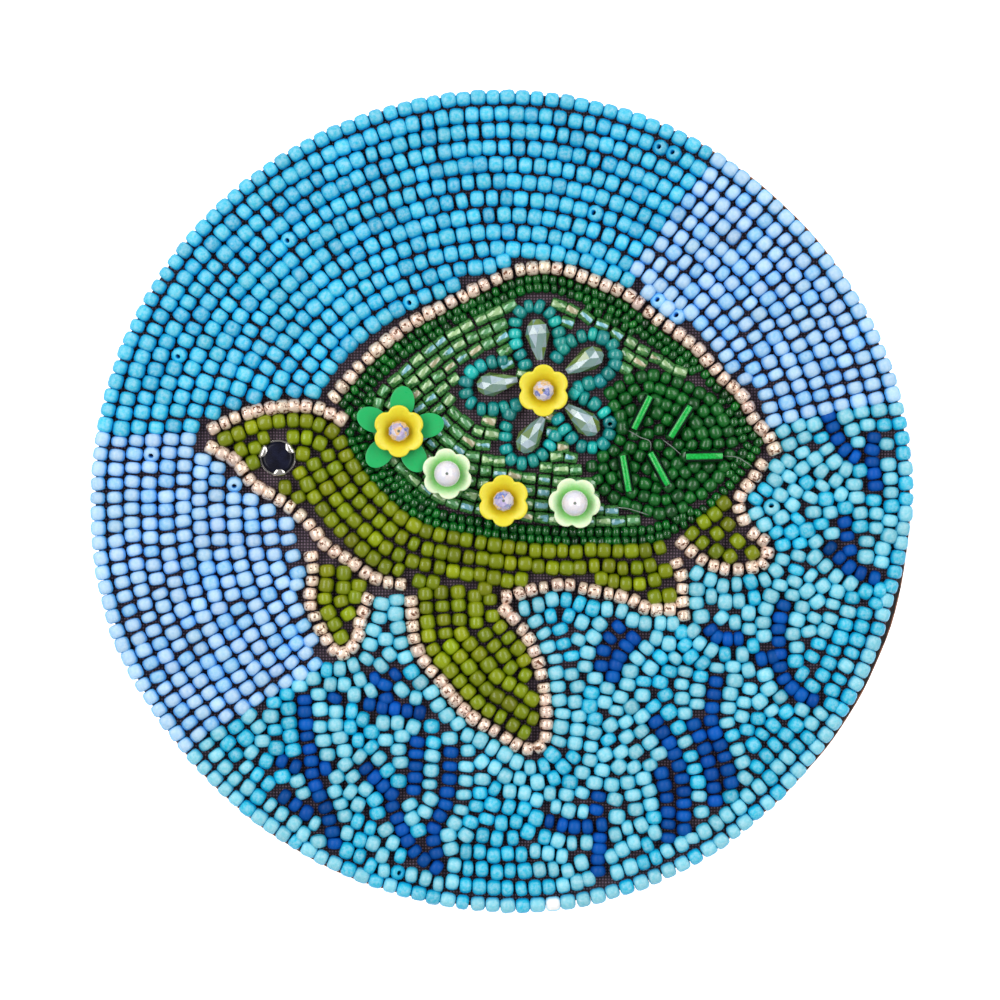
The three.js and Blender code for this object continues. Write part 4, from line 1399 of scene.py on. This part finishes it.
class COASTER_OT_petals(bpy.types.Operator):
    """Five crystal drops, each inside a loop of teal beads"""

    bl_idname = "coaster.petals"
    bl_label = "Crystal petals"

    def execute(self, context):
        rng = np.random.default_rng(SEED + 7)
        s, c = sizes(), colours()
        shape = bead_shape("teal", 1.9 * MM, 1.3 * MM, 0.34 * MM, 0.42 * MM)
        teal = bead_finish("teal_glaze", (0.1, 0.5, 0.56), 0.24, chalk=0.03, coat=0.35, grain=0.45)
        crystal = drop_finish()
        for place in PETALS:
            node = f"petal_loop_{place}"
            line = middle_line(node)
            # The thread runs on a little at both ends, under the flower.
            for end, before in ((0, 1), (-1, -2)):
                way = line[end] - line[before]
                line[end] = line[end] + way / np.linalg.norm(way) * 1.1 * MM
            beads = strung(line, s.petal_step)
            tint = tints(c.teal, len(beads.place), rng, 0.14, srgb(10, 172, 168), 0.3)
            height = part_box(node)[0].z + 0.92 * MM
            look = {"size": 0.04, "span": 0.1, "yaw": 0.14, "tilt": 0.1, "shift": 0.06, "upright": 0.04}
            piece = f"teal_beads_{place}"
            lay_beads(piece, shape, beads, tint, height, teal, "teal_beads", [node], look, rng)
            self.drop(f"crystal_drop_{place}", crystal, rng)
        return {"FINISHED"}

    # Rings of a drop from its narrow end: place along it and radius, as parts of its length and widest radius.
    CUT = [(-0.5, 0.3), (-0.2, 0.66), (0.14, 1.0), (0.36, 0.84), (0.5, 0.4)]

    def drop(self, node, finish, rng):
        """A cut drop: rings of eight, every second one turned half a step, with flat facets between."""
        low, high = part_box(node)
        radius = (high.z - low.z) / 2
        long = 5 * MM
        clear_selection()
        bpy.ops.mesh.primitive_cylinder_add(vertices=8, radius=radius, depth=long, end_fill_type="NGON")
        piece = bpy.context.object
        piece.name = node.replace("crystal_drop", "cut_drop")
        edit(piece)
        pick(piece, "EDGE", lambda e: abs(e.verts[0].co.z - e.verts[1].co.z) > MM)
        bpy.ops.mesh.subdivide(number_cuts=3)
        for ring, (share, wide) in enumerate(self.CUT):
            z = (ring / 4 - 0.5) * long
            pick(piece, "VERT", lambda v: abs(v.co.z - z) < 0.1 * MM)
            bpy.ops.transform.translate(value=(0, 0, share * long - z + (10 * MM)))
            middle = (0, 0, share * long + 10 * MM)
            bpy.ops.transform.resize(value=(wide, wide, 1), center_override=middle)
            if ring % 2:
                bpy.ops.transform.rotate(value=math.pi / 8, orient_axis="Z", center_override=middle)
        bpy.ops.mesh.select_mode(type="FACE")
        bpy.ops.mesh.select_all(action="SELECT")
        bpy.ops.mesh.quads_convert_to_tris(quad_method="SHORTEST_DIAGONAL")
        bpy.ops.mesh.normals_make_consistent(inside=False)
        bpy.ops.object.mode_set(mode="OBJECT")
        piece.data.transform(Matrix.Translation((0, 0, -10 * MM)))
        lying(node, piece)
        # Each facet's value grows as it faces up, with a random share. The crystal material paints high values as
        # reflected light and low ones as shade.
        up = np.array([face.normal.z for face in piece.data.polygons])
        tone = (0.75 * up + rng.uniform(-0.1, 0.42, len(up))).clip(0, 1)
        piece.data.attributes.new("facet", "FLOAT", "FACE").data.foreach_set("value", tone)
        own(piece, finish, "drop_crystal", [node])


class COASTER_OT_bugles(bpy.types.Operator):
    """Five bugle beads on the leaf, and the thread that holds them"""

    bl_idname = "coaster.bugles"
    bl_label = "Bugles"

    # Loose stitches on top of the beadwork: routes in millimetres.
    STITCHES = [
        [(15.5, 8.5), (17.0, 7.6), (18.2, 7.1), (18.3, 5.9)],
        [(19.8, 7.3), (21.2, 6.2), (22.2, 5.3)],
        [(27.1, 5.3), (29.0, 5.1), (30.9, 3.9)],
        [(13.7, -1.0), (15.6, -1.2), (18.2, -2.0)],
        [(4.4, 7.3), (4.5, 8.6)],
    ]

    def execute(self, context):
        finish = bugle_finish()
        for place in ("upper_left", "upper_right", "right", "lower_left", "lower_right"):
            node = f"bugle_bead_{place}"
            low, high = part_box(node)
            radius = (high.z - low.z) / 2
            clear_selection()
            bpy.ops.mesh.primitive_cylinder_add(
                vertices=20, radius=radius, depth=4.5 * MM, end_fill_type="NGON"
            )
            piece = bpy.context.object
            piece.name = node.replace("bugle_bead", "bugle")
            edit(piece)
            bore_through(piece, radius - 0.3 * MM)
            pick(piece, "EDGE", lambda e: around(e, 0.9 * radius))
            bpy.ops.mesh.bevel(offset=0.06 * MM, segments=2, affect="EDGES")
            bpy.ops.mesh.select_all(action="SELECT")
            bpy.ops.mesh.normals_make_consistent(inside=False)
            bpy.ops.object.mode_set(mode="OBJECT")
            lying(node, piece)
            bpy.ops.object.shade_smooth_by_angle(angle=math.radians(40))
            # crown: how high each corner stands on the bugle. The bugle material paints the lining on the top and
            # shade on the sides from it.
            centre = (low.z + high.z) / 2
            crown = [max(-1.0, min(1.0, (v.co.z - centre) / radius)) for v in piece.data.vertices]
            piece.data.attributes.new("crown", "FLOAT", "POINT").data.foreach_set("value", crown)
            own(piece, finish, "bugle_glass", [node])
        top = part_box("leaf_beads")[1].z
        clear = thread_finish()
        for number, route in enumerate(self.STITCHES):
            thread_piece(f"leaf_stitch_{number + 1}", route, top + 0.12 * MM, clear)
        return {"FINISHED"}


def thread_piece(name, route, height, finish, radius=0.07 * MM):
    """A stitch on top of the beadwork: a thin line that arches a little and dives in at both ends."""
    line = curve_through(np.array(route, float) * MM, 0.35 * MM)
    share = np.linspace(0, 1, len(line))
    rise = height + 0.25 * MM * np.sin(math.pi * share) - 0.9 * MM * np.maximum(0, np.abs(2 * share - 1) - 0.8) * 5
    curve = bpy.data.curves.new(name, "CURVE")
    curve.dimensions = "3D"
    curve.bevel_depth = radius
    curve.bevel_resolution = 2
    curve.use_fill_caps = True
    spline = curve.splines.new("POLY")
    spline.points.add(len(line) - 1)
    for point, (x, y), z in zip(spline.points, line, rise):
        point.co = (x, y, z, 1)
    piece = bpy.data.objects.new(name, curve)
    bpy.context.collection.objects.link(piece)
    clear_selection()
    bpy.context.view_layer.objects.active = piece
    piece.select_set(True)
    bpy.ops.object.convert(target="MESH")
    own(bpy.context.object, finish, "clear_thread")


# ---- Flowers ----


def cup_flower(name, node, finish, slot, body, turn):
    """A flared cup pressed into six round lobes, with a hole in its floor."""
    low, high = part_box(node)
    middle = (low + high) / 2
    radius = max(high.x - low.x, high.y - low.y) / 2
    rise = high.z - low.z
    wall = 0.42 * MM
    clear_selection()
    bpy.ops.mesh.primitive_circle_add(vertices=48, radius=0.4 * MM, location=(0, 0, 0), fill_type="NOTHING")
    piece = bpy.context.object
    piece.name = name
    edit(piece)
    # Radius and height of each ring from the hole outwards, as parts of the whole.
    profile = [(0.3, 0.0), (0.42, 0.06), (0.56, 0.3), (0.74, 0.58), (0.9, 0.76), (1.0, 0.78)]
    here, up = 0.4 * MM, 0.0
    for share, height in profile:
        bpy.ops.mesh.select_all(action="DESELECT")
        pick(piece, "VERT", lambda v: abs(math.hypot(v.co.x, v.co.y) - here) < 0.01 * MM)
        bpy.ops.mesh.extrude_region_move(TRANSFORM_OT_translate={"value": (0, 0, height * rise - up)})
        factor = share * radius / here
        bpy.ops.transform.resize(value=(factor, factor, 1), center_override=(0, 0, 0))
        here, up = share * radius, height * rise
    bpy.ops.object.mode_set(mode="OBJECT")
    for v in piece.data.vertices:
        reach = math.hypot(v.co.x, v.co.y)
        angle = math.atan2(v.co.y, v.co.x)
        flare = max(0.0, (reach / radius - 0.35) / 0.65)
        lobe = abs(math.sin(3 * angle)) ** 0.6
        dip = 1 - 0.2 * flare * (1 - lobe)
        v.co.x *= dip
        v.co.y *= dip
        v.co.z -= 0.25 * MM * flare * (1 - lobe)
    thick = piece.modifiers.new("wall", "SOLIDIFY")
    thick.thickness = wall
    thick.offset = 1.0
    rounded = piece.modifiers.new("rounding", "SUBSURF")
    rounded.levels = 2
    rounded.render_levels = 2
    bpy.ops.object.modifier_apply(modifier="wall")
    edit(piece)
    bpy.ops.mesh.select_all(action="SELECT")
    bpy.ops.mesh.normals_make_consistent(inside=False)
    bpy.ops.object.mode_set(mode="OBJECT")
    bpy.ops.object.modifier_apply(modifier="rounding")
    bpy.ops.object.shade_smooth()
    corners = np.array([v.co for v in piece.data.vertices])
    wide = radius / np.linalg.norm(corners[:, :2], axis=1).max()
    lift = low.z - corners[:, 2].min()
    place = Matrix.Translation((middle.x, middle.y, lift)) @ Matrix.Rotation(turn, 4, "Z")
    piece.data.transform(place @ Matrix.Diagonal((wide, wide, 1, 1)))
    return own(piece, finish, slot, [node], body)


def star_radius(turn, petals, far, half_long, half_wide, waist):
    """How far a flower of oval petals reaches in one direction."""
    step = 2 * math.pi / petals
    away = (turn + step / 2) % step - step / 2
    c, s = math.cos(away), math.sin(away)
    a = (c / half_long) ** 2 + (s / half_wide) ** 2
    b = -2 * far * c / half_long**2
    d = b * b - 4 * a * ((far / half_long) ** 2 - 1)
    return max(waist, (-b + math.sqrt(d)) / (2 * a)) if d > 0 else waist


class COASTER_OT_flowers(bpy.types.Operator):
    """Cup flowers, the star flower, and the crystals and pearls that hold them"""

    bl_idname = "coaster.flowers"
    bl_label = "Flowers"

    def execute(self, context):
        c = colours()
        rim = (1.9 * MM, 3.3 * MM)
        yellows = {"shoulder": "shoulder_flower", "middle": "middle_flower", "petals": "petals_flower"}
        turns = {"shoulder": 0.0, "middle": 0.0, "petals": 0.0, "left": 0.1, "right": 0.42}
        aurora, pearl, clear = aurora_finish(), pearl_finish(), thread_finish()
        for place, body in yellows.items():
            node = f"yellow_flower_{place}"
            centre = self.centre(node)
            warm = srgb(206, 176, 22)
            finish = plastic_finish(f"yellow_plastic_{place}", warm, tuple(c.yellow), centre, (1.2 * MM, 2.8 * MM))
            cup_flower(f"yellow_cup_{place}", node, finish, "yellow_plastic", body, turns[place])
            self.crystal(f"aurora_bead_{place}", f"crystal_bead_{place}", aurora)
            self.stitch(f"stitch_{node}", clear)
        for place in ("left", "right"):
            node = f"pale_flower_{place}"
            centre = self.centre(node)
            cream = srgb(226, 240, 204)
            finish = plastic_finish(f"pale_plastic_{place}", tuple(c.pale_green), cream, centre, rim, 0.3)
            cup_flower(f"pale_cup_{place}", node, finish, "pale_plastic", f"{place}_pale_flower", turns[place])
            self.pearl(f"white_pearl_{place}", f"pearl_bead_{place}", pearl)
            self.stitch(f"stitch_{node}", clear)
        self.star()
        return {"FINISHED"}

    def centre(self, node):
        low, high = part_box(node)
        return ((low + high) / 2)[:]

    def stitch(self, node, finish):
        thread = NODES[node].data
        thread.materials.clear()
        thread.materials.append(finish)

    def crystal(self, name, node, finish):
        """A small cut bead with its hole up: rings of ten, turned half a step against each other."""
        low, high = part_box(node)
        radius, rise = (high.x - low.x) / 2, high.z - low.z
        clear_selection()
        bpy.ops.mesh.primitive_cylinder_add(vertices=10, radius=0.5 * radius, depth=rise, end_fill_type="NGON")
        piece = bpy.context.object
        piece.name = name
        edit(piece)
        bore_through(piece, 0.5 * radius - 0.2 * MM)
        pick(piece, "EDGE", lambda e: abs(e.verts[0].co.z - e.verts[1].co.z) > 0.5 * rise
             and math.hypot(e.verts[0].co.x, e.verts[0].co.y) > 0.45 * radius)
        bpy.ops.mesh.subdivide(number_cuts=3)
        for level, wide in enumerate((0.86, 1.0, 0.86)):
            z = (level - 1) * rise / 4
            pick(piece, "VERT", lambda v: abs(v.co.z - z) < 0.05 * MM and math.hypot(v.co.x, v.co.y) > 0.45 * radius)
            bpy.ops.transform.resize(value=(wide / 0.5, wide / 0.5, 1), center_override=(0, 0, z))
            if level != 1:
                bpy.ops.transform.rotate(value=math.pi / 10, orient_axis="Z", center_override=(0, 0, z))
        bpy.ops.mesh.select_mode(type="FACE")
        bpy.ops.mesh.select_all(action="SELECT")
        bpy.ops.mesh.quads_convert_to_tris(quad_method="SHORTEST_DIAGONAL")
        bpy.ops.mesh.normals_make_consistent(inside=False)
        bpy.ops.object.mode_set(mode="OBJECT")
        piece.data.transform(Matrix.Translation((low + high) / 2))
        own(piece, finish, "aurora_crystal", [node])

    def pearl(self, name, node, finish):
        low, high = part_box(node)
        radius = (high.x - low.x) / 2
        bore = 0.16 * MM
        clear_selection()
        bpy.ops.mesh.primitive_uv_sphere_add(segments=32, ring_count=20, radius=radius)
        piece = bpy.context.object
        piece.name = name
        edit(piece)
        pick(piece, "FACE", lambda f: math.hypot(*f.calc_center_median().xy) < bore)
        bpy.ops.mesh.delete(type="FACE")
        pick(piece, "EDGE", lambda e: e.is_boundary)
        bpy.ops.mesh.bridge_edge_loops()
        bpy.ops.mesh.select_all(action="SELECT")
        bpy.ops.mesh.normals_make_consistent(inside=False)
        bpy.ops.object.mode_set(mode="OBJECT")
        bpy.ops.object.shade_smooth_by_angle(angle=math.radians(50))
        corners = np.array([v.co.z for v in piece.data.vertices])
        piece.data.transform(Matrix.Translation(((low + high) / 2).xy.to_3d() + piece.location.lerp((0, 0, 0), 1)))
        piece.data.transform(Matrix.Translation((0, 0, (low.z + high.z) / 2 - (corners.min() + corners.max()) / 2)))
        own(piece, finish, "pearl", [node])

    def star(self):
        """A flat flower of five oval petals, a little raised at their tips."""
        c = colours()
        low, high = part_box("star_flower")
        centre = self.centre("yellow_flower_shoulder")
        count = 200
        first = math.radians(84)
        clear_selection()
        bpy.ops.mesh.primitive_circle_add(vertices=count, radius=MM, fill_type="NGON")
        piece = bpy.context.object
        piece.name = "green_star"
        edit(piece)
        bpy.ops.mesh.select_all(action="SELECT")
        bpy.ops.mesh.inset(thickness=0.6 * MM)
        bpy.ops.mesh.delete(type="FACE")
        bpy.ops.mesh.select_all(action="SELECT")
        bpy.ops.mesh.subdivide(number_cuts=0)
        pick(piece, "EDGE", lambda e: abs(math.hypot(*e.verts[0].co.xy) - math.hypot(*e.verts[1].co.xy)) > 0.2 * MM)
        bpy.ops.mesh.subdivide(number_cuts=5)
        bpy.ops.object.mode_set(mode="OBJECT")
        for v in piece.data.vertices:
            turn = math.atan2(v.co.y, v.co.x)
            share = (math.hypot(v.co.x, v.co.y) - 0.4 * MM) / (0.6 * MM)
            edge = star_radius(turn - first, 5, 3.55 * MM, 2.05 * MM, 1.5 * MM, 2.0 * MM)
            reach = 0.4 * MM + share * (edge - 0.4 * MM)
            v.co.x = reach * math.cos(turn)
            v.co.y = reach * math.sin(turn)
            v.co.z = 0.12 * MM * (reach / (5.6 * MM)) ** 2
        thick = piece.modifiers.new("plate", "SOLIDIFY")
        thick.thickness = 0.38 * MM
        thick.offset = 0.0
        eased = piece.modifiers.new("eased", "BEVEL")
        eased.width = 0.1 * MM
        eased.segments = 2
        eased.limit_method = "ANGLE"
        bpy.ops.object.modifier_apply(modifier="plate")
        bpy.ops.object.modifier_apply(modifier="eased")
        edit(piece)
        bpy.ops.mesh.select_all(action="SELECT")
        bpy.ops.mesh.normals_make_consistent(inside=False)
        bpy.ops.object.mode_set(mode="OBJECT")
        bpy.ops.object.shade_smooth_by_angle(angle=math.radians(50))
        corners = np.array([v.co.z for v in piece.data.vertices])
        piece.data.transform(Matrix.Translation((centre[0], centre[1], low.z - corners.min())))
        finish = plastic_finish("green_plastic", srgb(8, 150, 76), tuple(c.green), centre, (2 * MM, 4 * MM), 0.32)
        own(piece, finish, "green_plastic", ["star_flower"], "star_flower")


# ---- Eye ----


class COASTER_OT_eye(bpy.types.Operator):
    """A flat stone in a three-claw setting"""

    bl_idname = "coaster.eye"
    bl_label = "Eye"

    def execute(self, context):
        low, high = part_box("eye_stone")
        middle = (low + high) / 2
        radius = (high.x - low.x) / 2
        clear_selection()
        bpy.ops.mesh.primitive_cylinder_add(vertices=40, radius=radius, depth=high.z - low.z, location=middle)
        stone = context.object
        stone.name = "night_stone"
        bpy.ops.object.transform_apply(location=True, rotation=True, scale=True)
        edit(stone)
        pick(stone, "EDGE", lambda e: all(v.co.z > high.z - 0.01 * MM for v in e.verts))
        bpy.ops.mesh.bevel(offset=0.5 * MM, segments=4, affect="EDGES")
        pick(stone, "EDGE", lambda e: all(v.co.z < low.z + 0.01 * MM for v in e.verts))
        bpy.ops.mesh.bevel(offset=0.25 * MM, segments=2, affect="EDGES")
        bpy.ops.object.mode_set(mode="OBJECT")
        bpy.ops.object.shade_smooth_by_angle(angle=math.radians(35))
        own(stone, stone_finish(), "eye_stone", ["eye_stone"])
        self.setting(middle, high.z)
        return {"FINISHED"}

    def setting(self, middle, stone_top):
        """A dish with a low wall, and three broad claws bent over the stone's edge."""
        low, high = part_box("eye_claw_setting")
        outer = 2.2 * MM
        wall_top = low.z + 1.0 * MM
        clear_selection()
        bpy.ops.mesh.primitive_cylinder_add(
            vertices=48, radius=outer, depth=wall_top - low.z, location=(0, 0, (wall_top + low.z) / 2)
        )
        dish = bpy.context.object
        dish.name = "claw_setting"
        bpy.ops.object.transform_apply(location=True, rotation=True, scale=True)
        edit(dish)
        pick(dish, "FACE", lambda f: f.normal.z > 0.9)
        bpy.ops.mesh.inset(thickness=0.09 * MM)
        bpy.ops.mesh.extrude_region_move(TRANSFORM_OT_translate={"value": (0, 0, -0.65 * MM)})
        pick(dish, "EDGE", lambda e: around(e, outer - 0.3 * MM) and e.verts[0].co.z > wall_top - 0.01 * MM)
        bpy.ops.mesh.bevel(offset=0.03 * MM, segments=2, affect="EDGES")
        bpy.ops.object.mode_set(mode="OBJECT")
        claws = [self.claw(math.radians(37 + 120 * third), outer + 0.1 * MM, low.z, stone_top) for third in range(3)]
        clear_selection()
        for part in [*claws, dish]:
            part.select_set(True)
        bpy.context.view_layer.objects.active = dish
        bpy.ops.object.join()
        bpy.ops.object.shade_smooth_by_angle(angle=math.radians(50))
        dish.data.transform(Matrix.Translation((middle.x, middle.y, 0)))
        own(dish, silver_finish(), "claw_setting", ["eye_claw_setting"])

    # The claw from its foot to its tip: inwards and upwards from the dish's edge in mm, and its width in mm.
    BEND = [(0.1, 0.0, 1.2), (0.08, 1.1, 1.4), (0.1, 1.75, 1.6), (0.28, 2.02, 1.56), (0.55, 2.06, 1.3), (0.8, 1.98, 0.8)]

    def claw(self, turn, outer, foot, stone_top):
        """A rounded tongue of sheet metal: a strip extruded along its bend, thick in the middle of its width."""
        clear_selection()
        bpy.ops.mesh.primitive_circle_add(vertices=12, radius=0.5, fill_type="NGON")
        strip = bpy.context.object
        first = self.BEND[0]
        edit(strip)
        bpy.ops.mesh.select_all(action="SELECT")
        bpy.ops.transform.resize(value=(0.22 * MM, first[2] * MM, 1), center_override=(0, 0, 0))
        start = (outer - first[0] * MM, 0, foot)
        bpy.ops.transform.translate(value=start)
        scale = (stone_top + 0.14 * MM - foot) / (2.06 * MM)
        for before, after in zip(self.BEND, self.BEND[1:]):
            across = -(after[0] - before[0]) * MM
            rise = (after[1] - before[1]) * scale * MM
            bpy.ops.mesh.extrude_region_move(TRANSFORM_OT_translate={"value": (across, 0, rise)})
            lean = math.atan2(-across, max(rise, 1e-6)) if rise > 0 else math.radians(100)
            here = (outer - after[0] * MM, 0, foot + after[1] * scale * MM)
            factor = after[2] / before[2]
            bpy.ops.transform.resize(value=(1, factor, 1), center_override=here)
            tilt = lean - getattr(self, "leaning", 0.0)
            self.leaning = lean
            bpy.ops.transform.rotate(value=tilt, orient_axis="Y", center_override=here)
        self.leaning = 0.0
        bpy.ops.mesh.select_all(action="SELECT")
        bpy.ops.mesh.normals_make_consistent(inside=False)
        bpy.ops.object.mode_set(mode="OBJECT")
        strip.data.transform(Matrix.Rotation(turn, 4, "Z"))
        return strip


# ---- Panel and registration ----

OPERATORS = (
    COASTER_OT_stage,
    COASTER_OT_base,
    COASTER_OT_sky,
    COASTER_OT_gold,
    COASTER_OT_waves,
    COASTER_OT_water,
    COASTER_OT_turtle,
    COASTER_OT_shell,
    COASTER_OT_petals,
    COASTER_OT_bugles,
    COASTER_OT_flowers,
    COASTER_OT_eye,
)


class COASTER_PT_panel(bpy.types.Panel):
    """Sizes and colours of the coaster, and a button for each group of pieces"""

    bl_idname = "COASTER_PT_panel"
    bl_label = "Sea Turtle Coaster"
    bl_space_type = "VIEW_3D"
    bl_region_type = "UI"
    bl_category = "Coaster"

    def draw(self, context):
        scene = context.scene
        for group in (scene.coaster_bead_sizes, scene.coaster_colours, scene.coaster_studio):
            box = self.layout.box()
            for key in group.__annotations__:
                box.prop(group, key)
        for operator in OPERATORS:
            self.layout.operator(operator.bl_idname)


CLASSES = (BeadSizes, Colours, Studio, *OPERATORS, COASTER_PT_panel)


def register():
    for cls in CLASSES:
        bpy.utils.register_class(cls)
    bpy.types.Scene.coaster_bead_sizes = PointerProperty(type=BeadSizes)
    bpy.types.Scene.coaster_colours = PointerProperty(type=Colours)
    bpy.types.Scene.coaster_studio = PointerProperty(type=Studio)


def unregister():
    del bpy.types.Scene.coaster_bead_sizes
    del bpy.types.Scene.coaster_colours
    del bpy.types.Scene.coaster_studio
    for cls in reversed(CLASSES):
        bpy.utils.unregister_class(cls)


def main():
    register()
    for operator in OPERATORS:
        group, name = operator.bl_idname.split(".")
        getattr(getattr(bpy.ops, group), name)()
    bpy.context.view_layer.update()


if __name__ == "__main__":
    main()
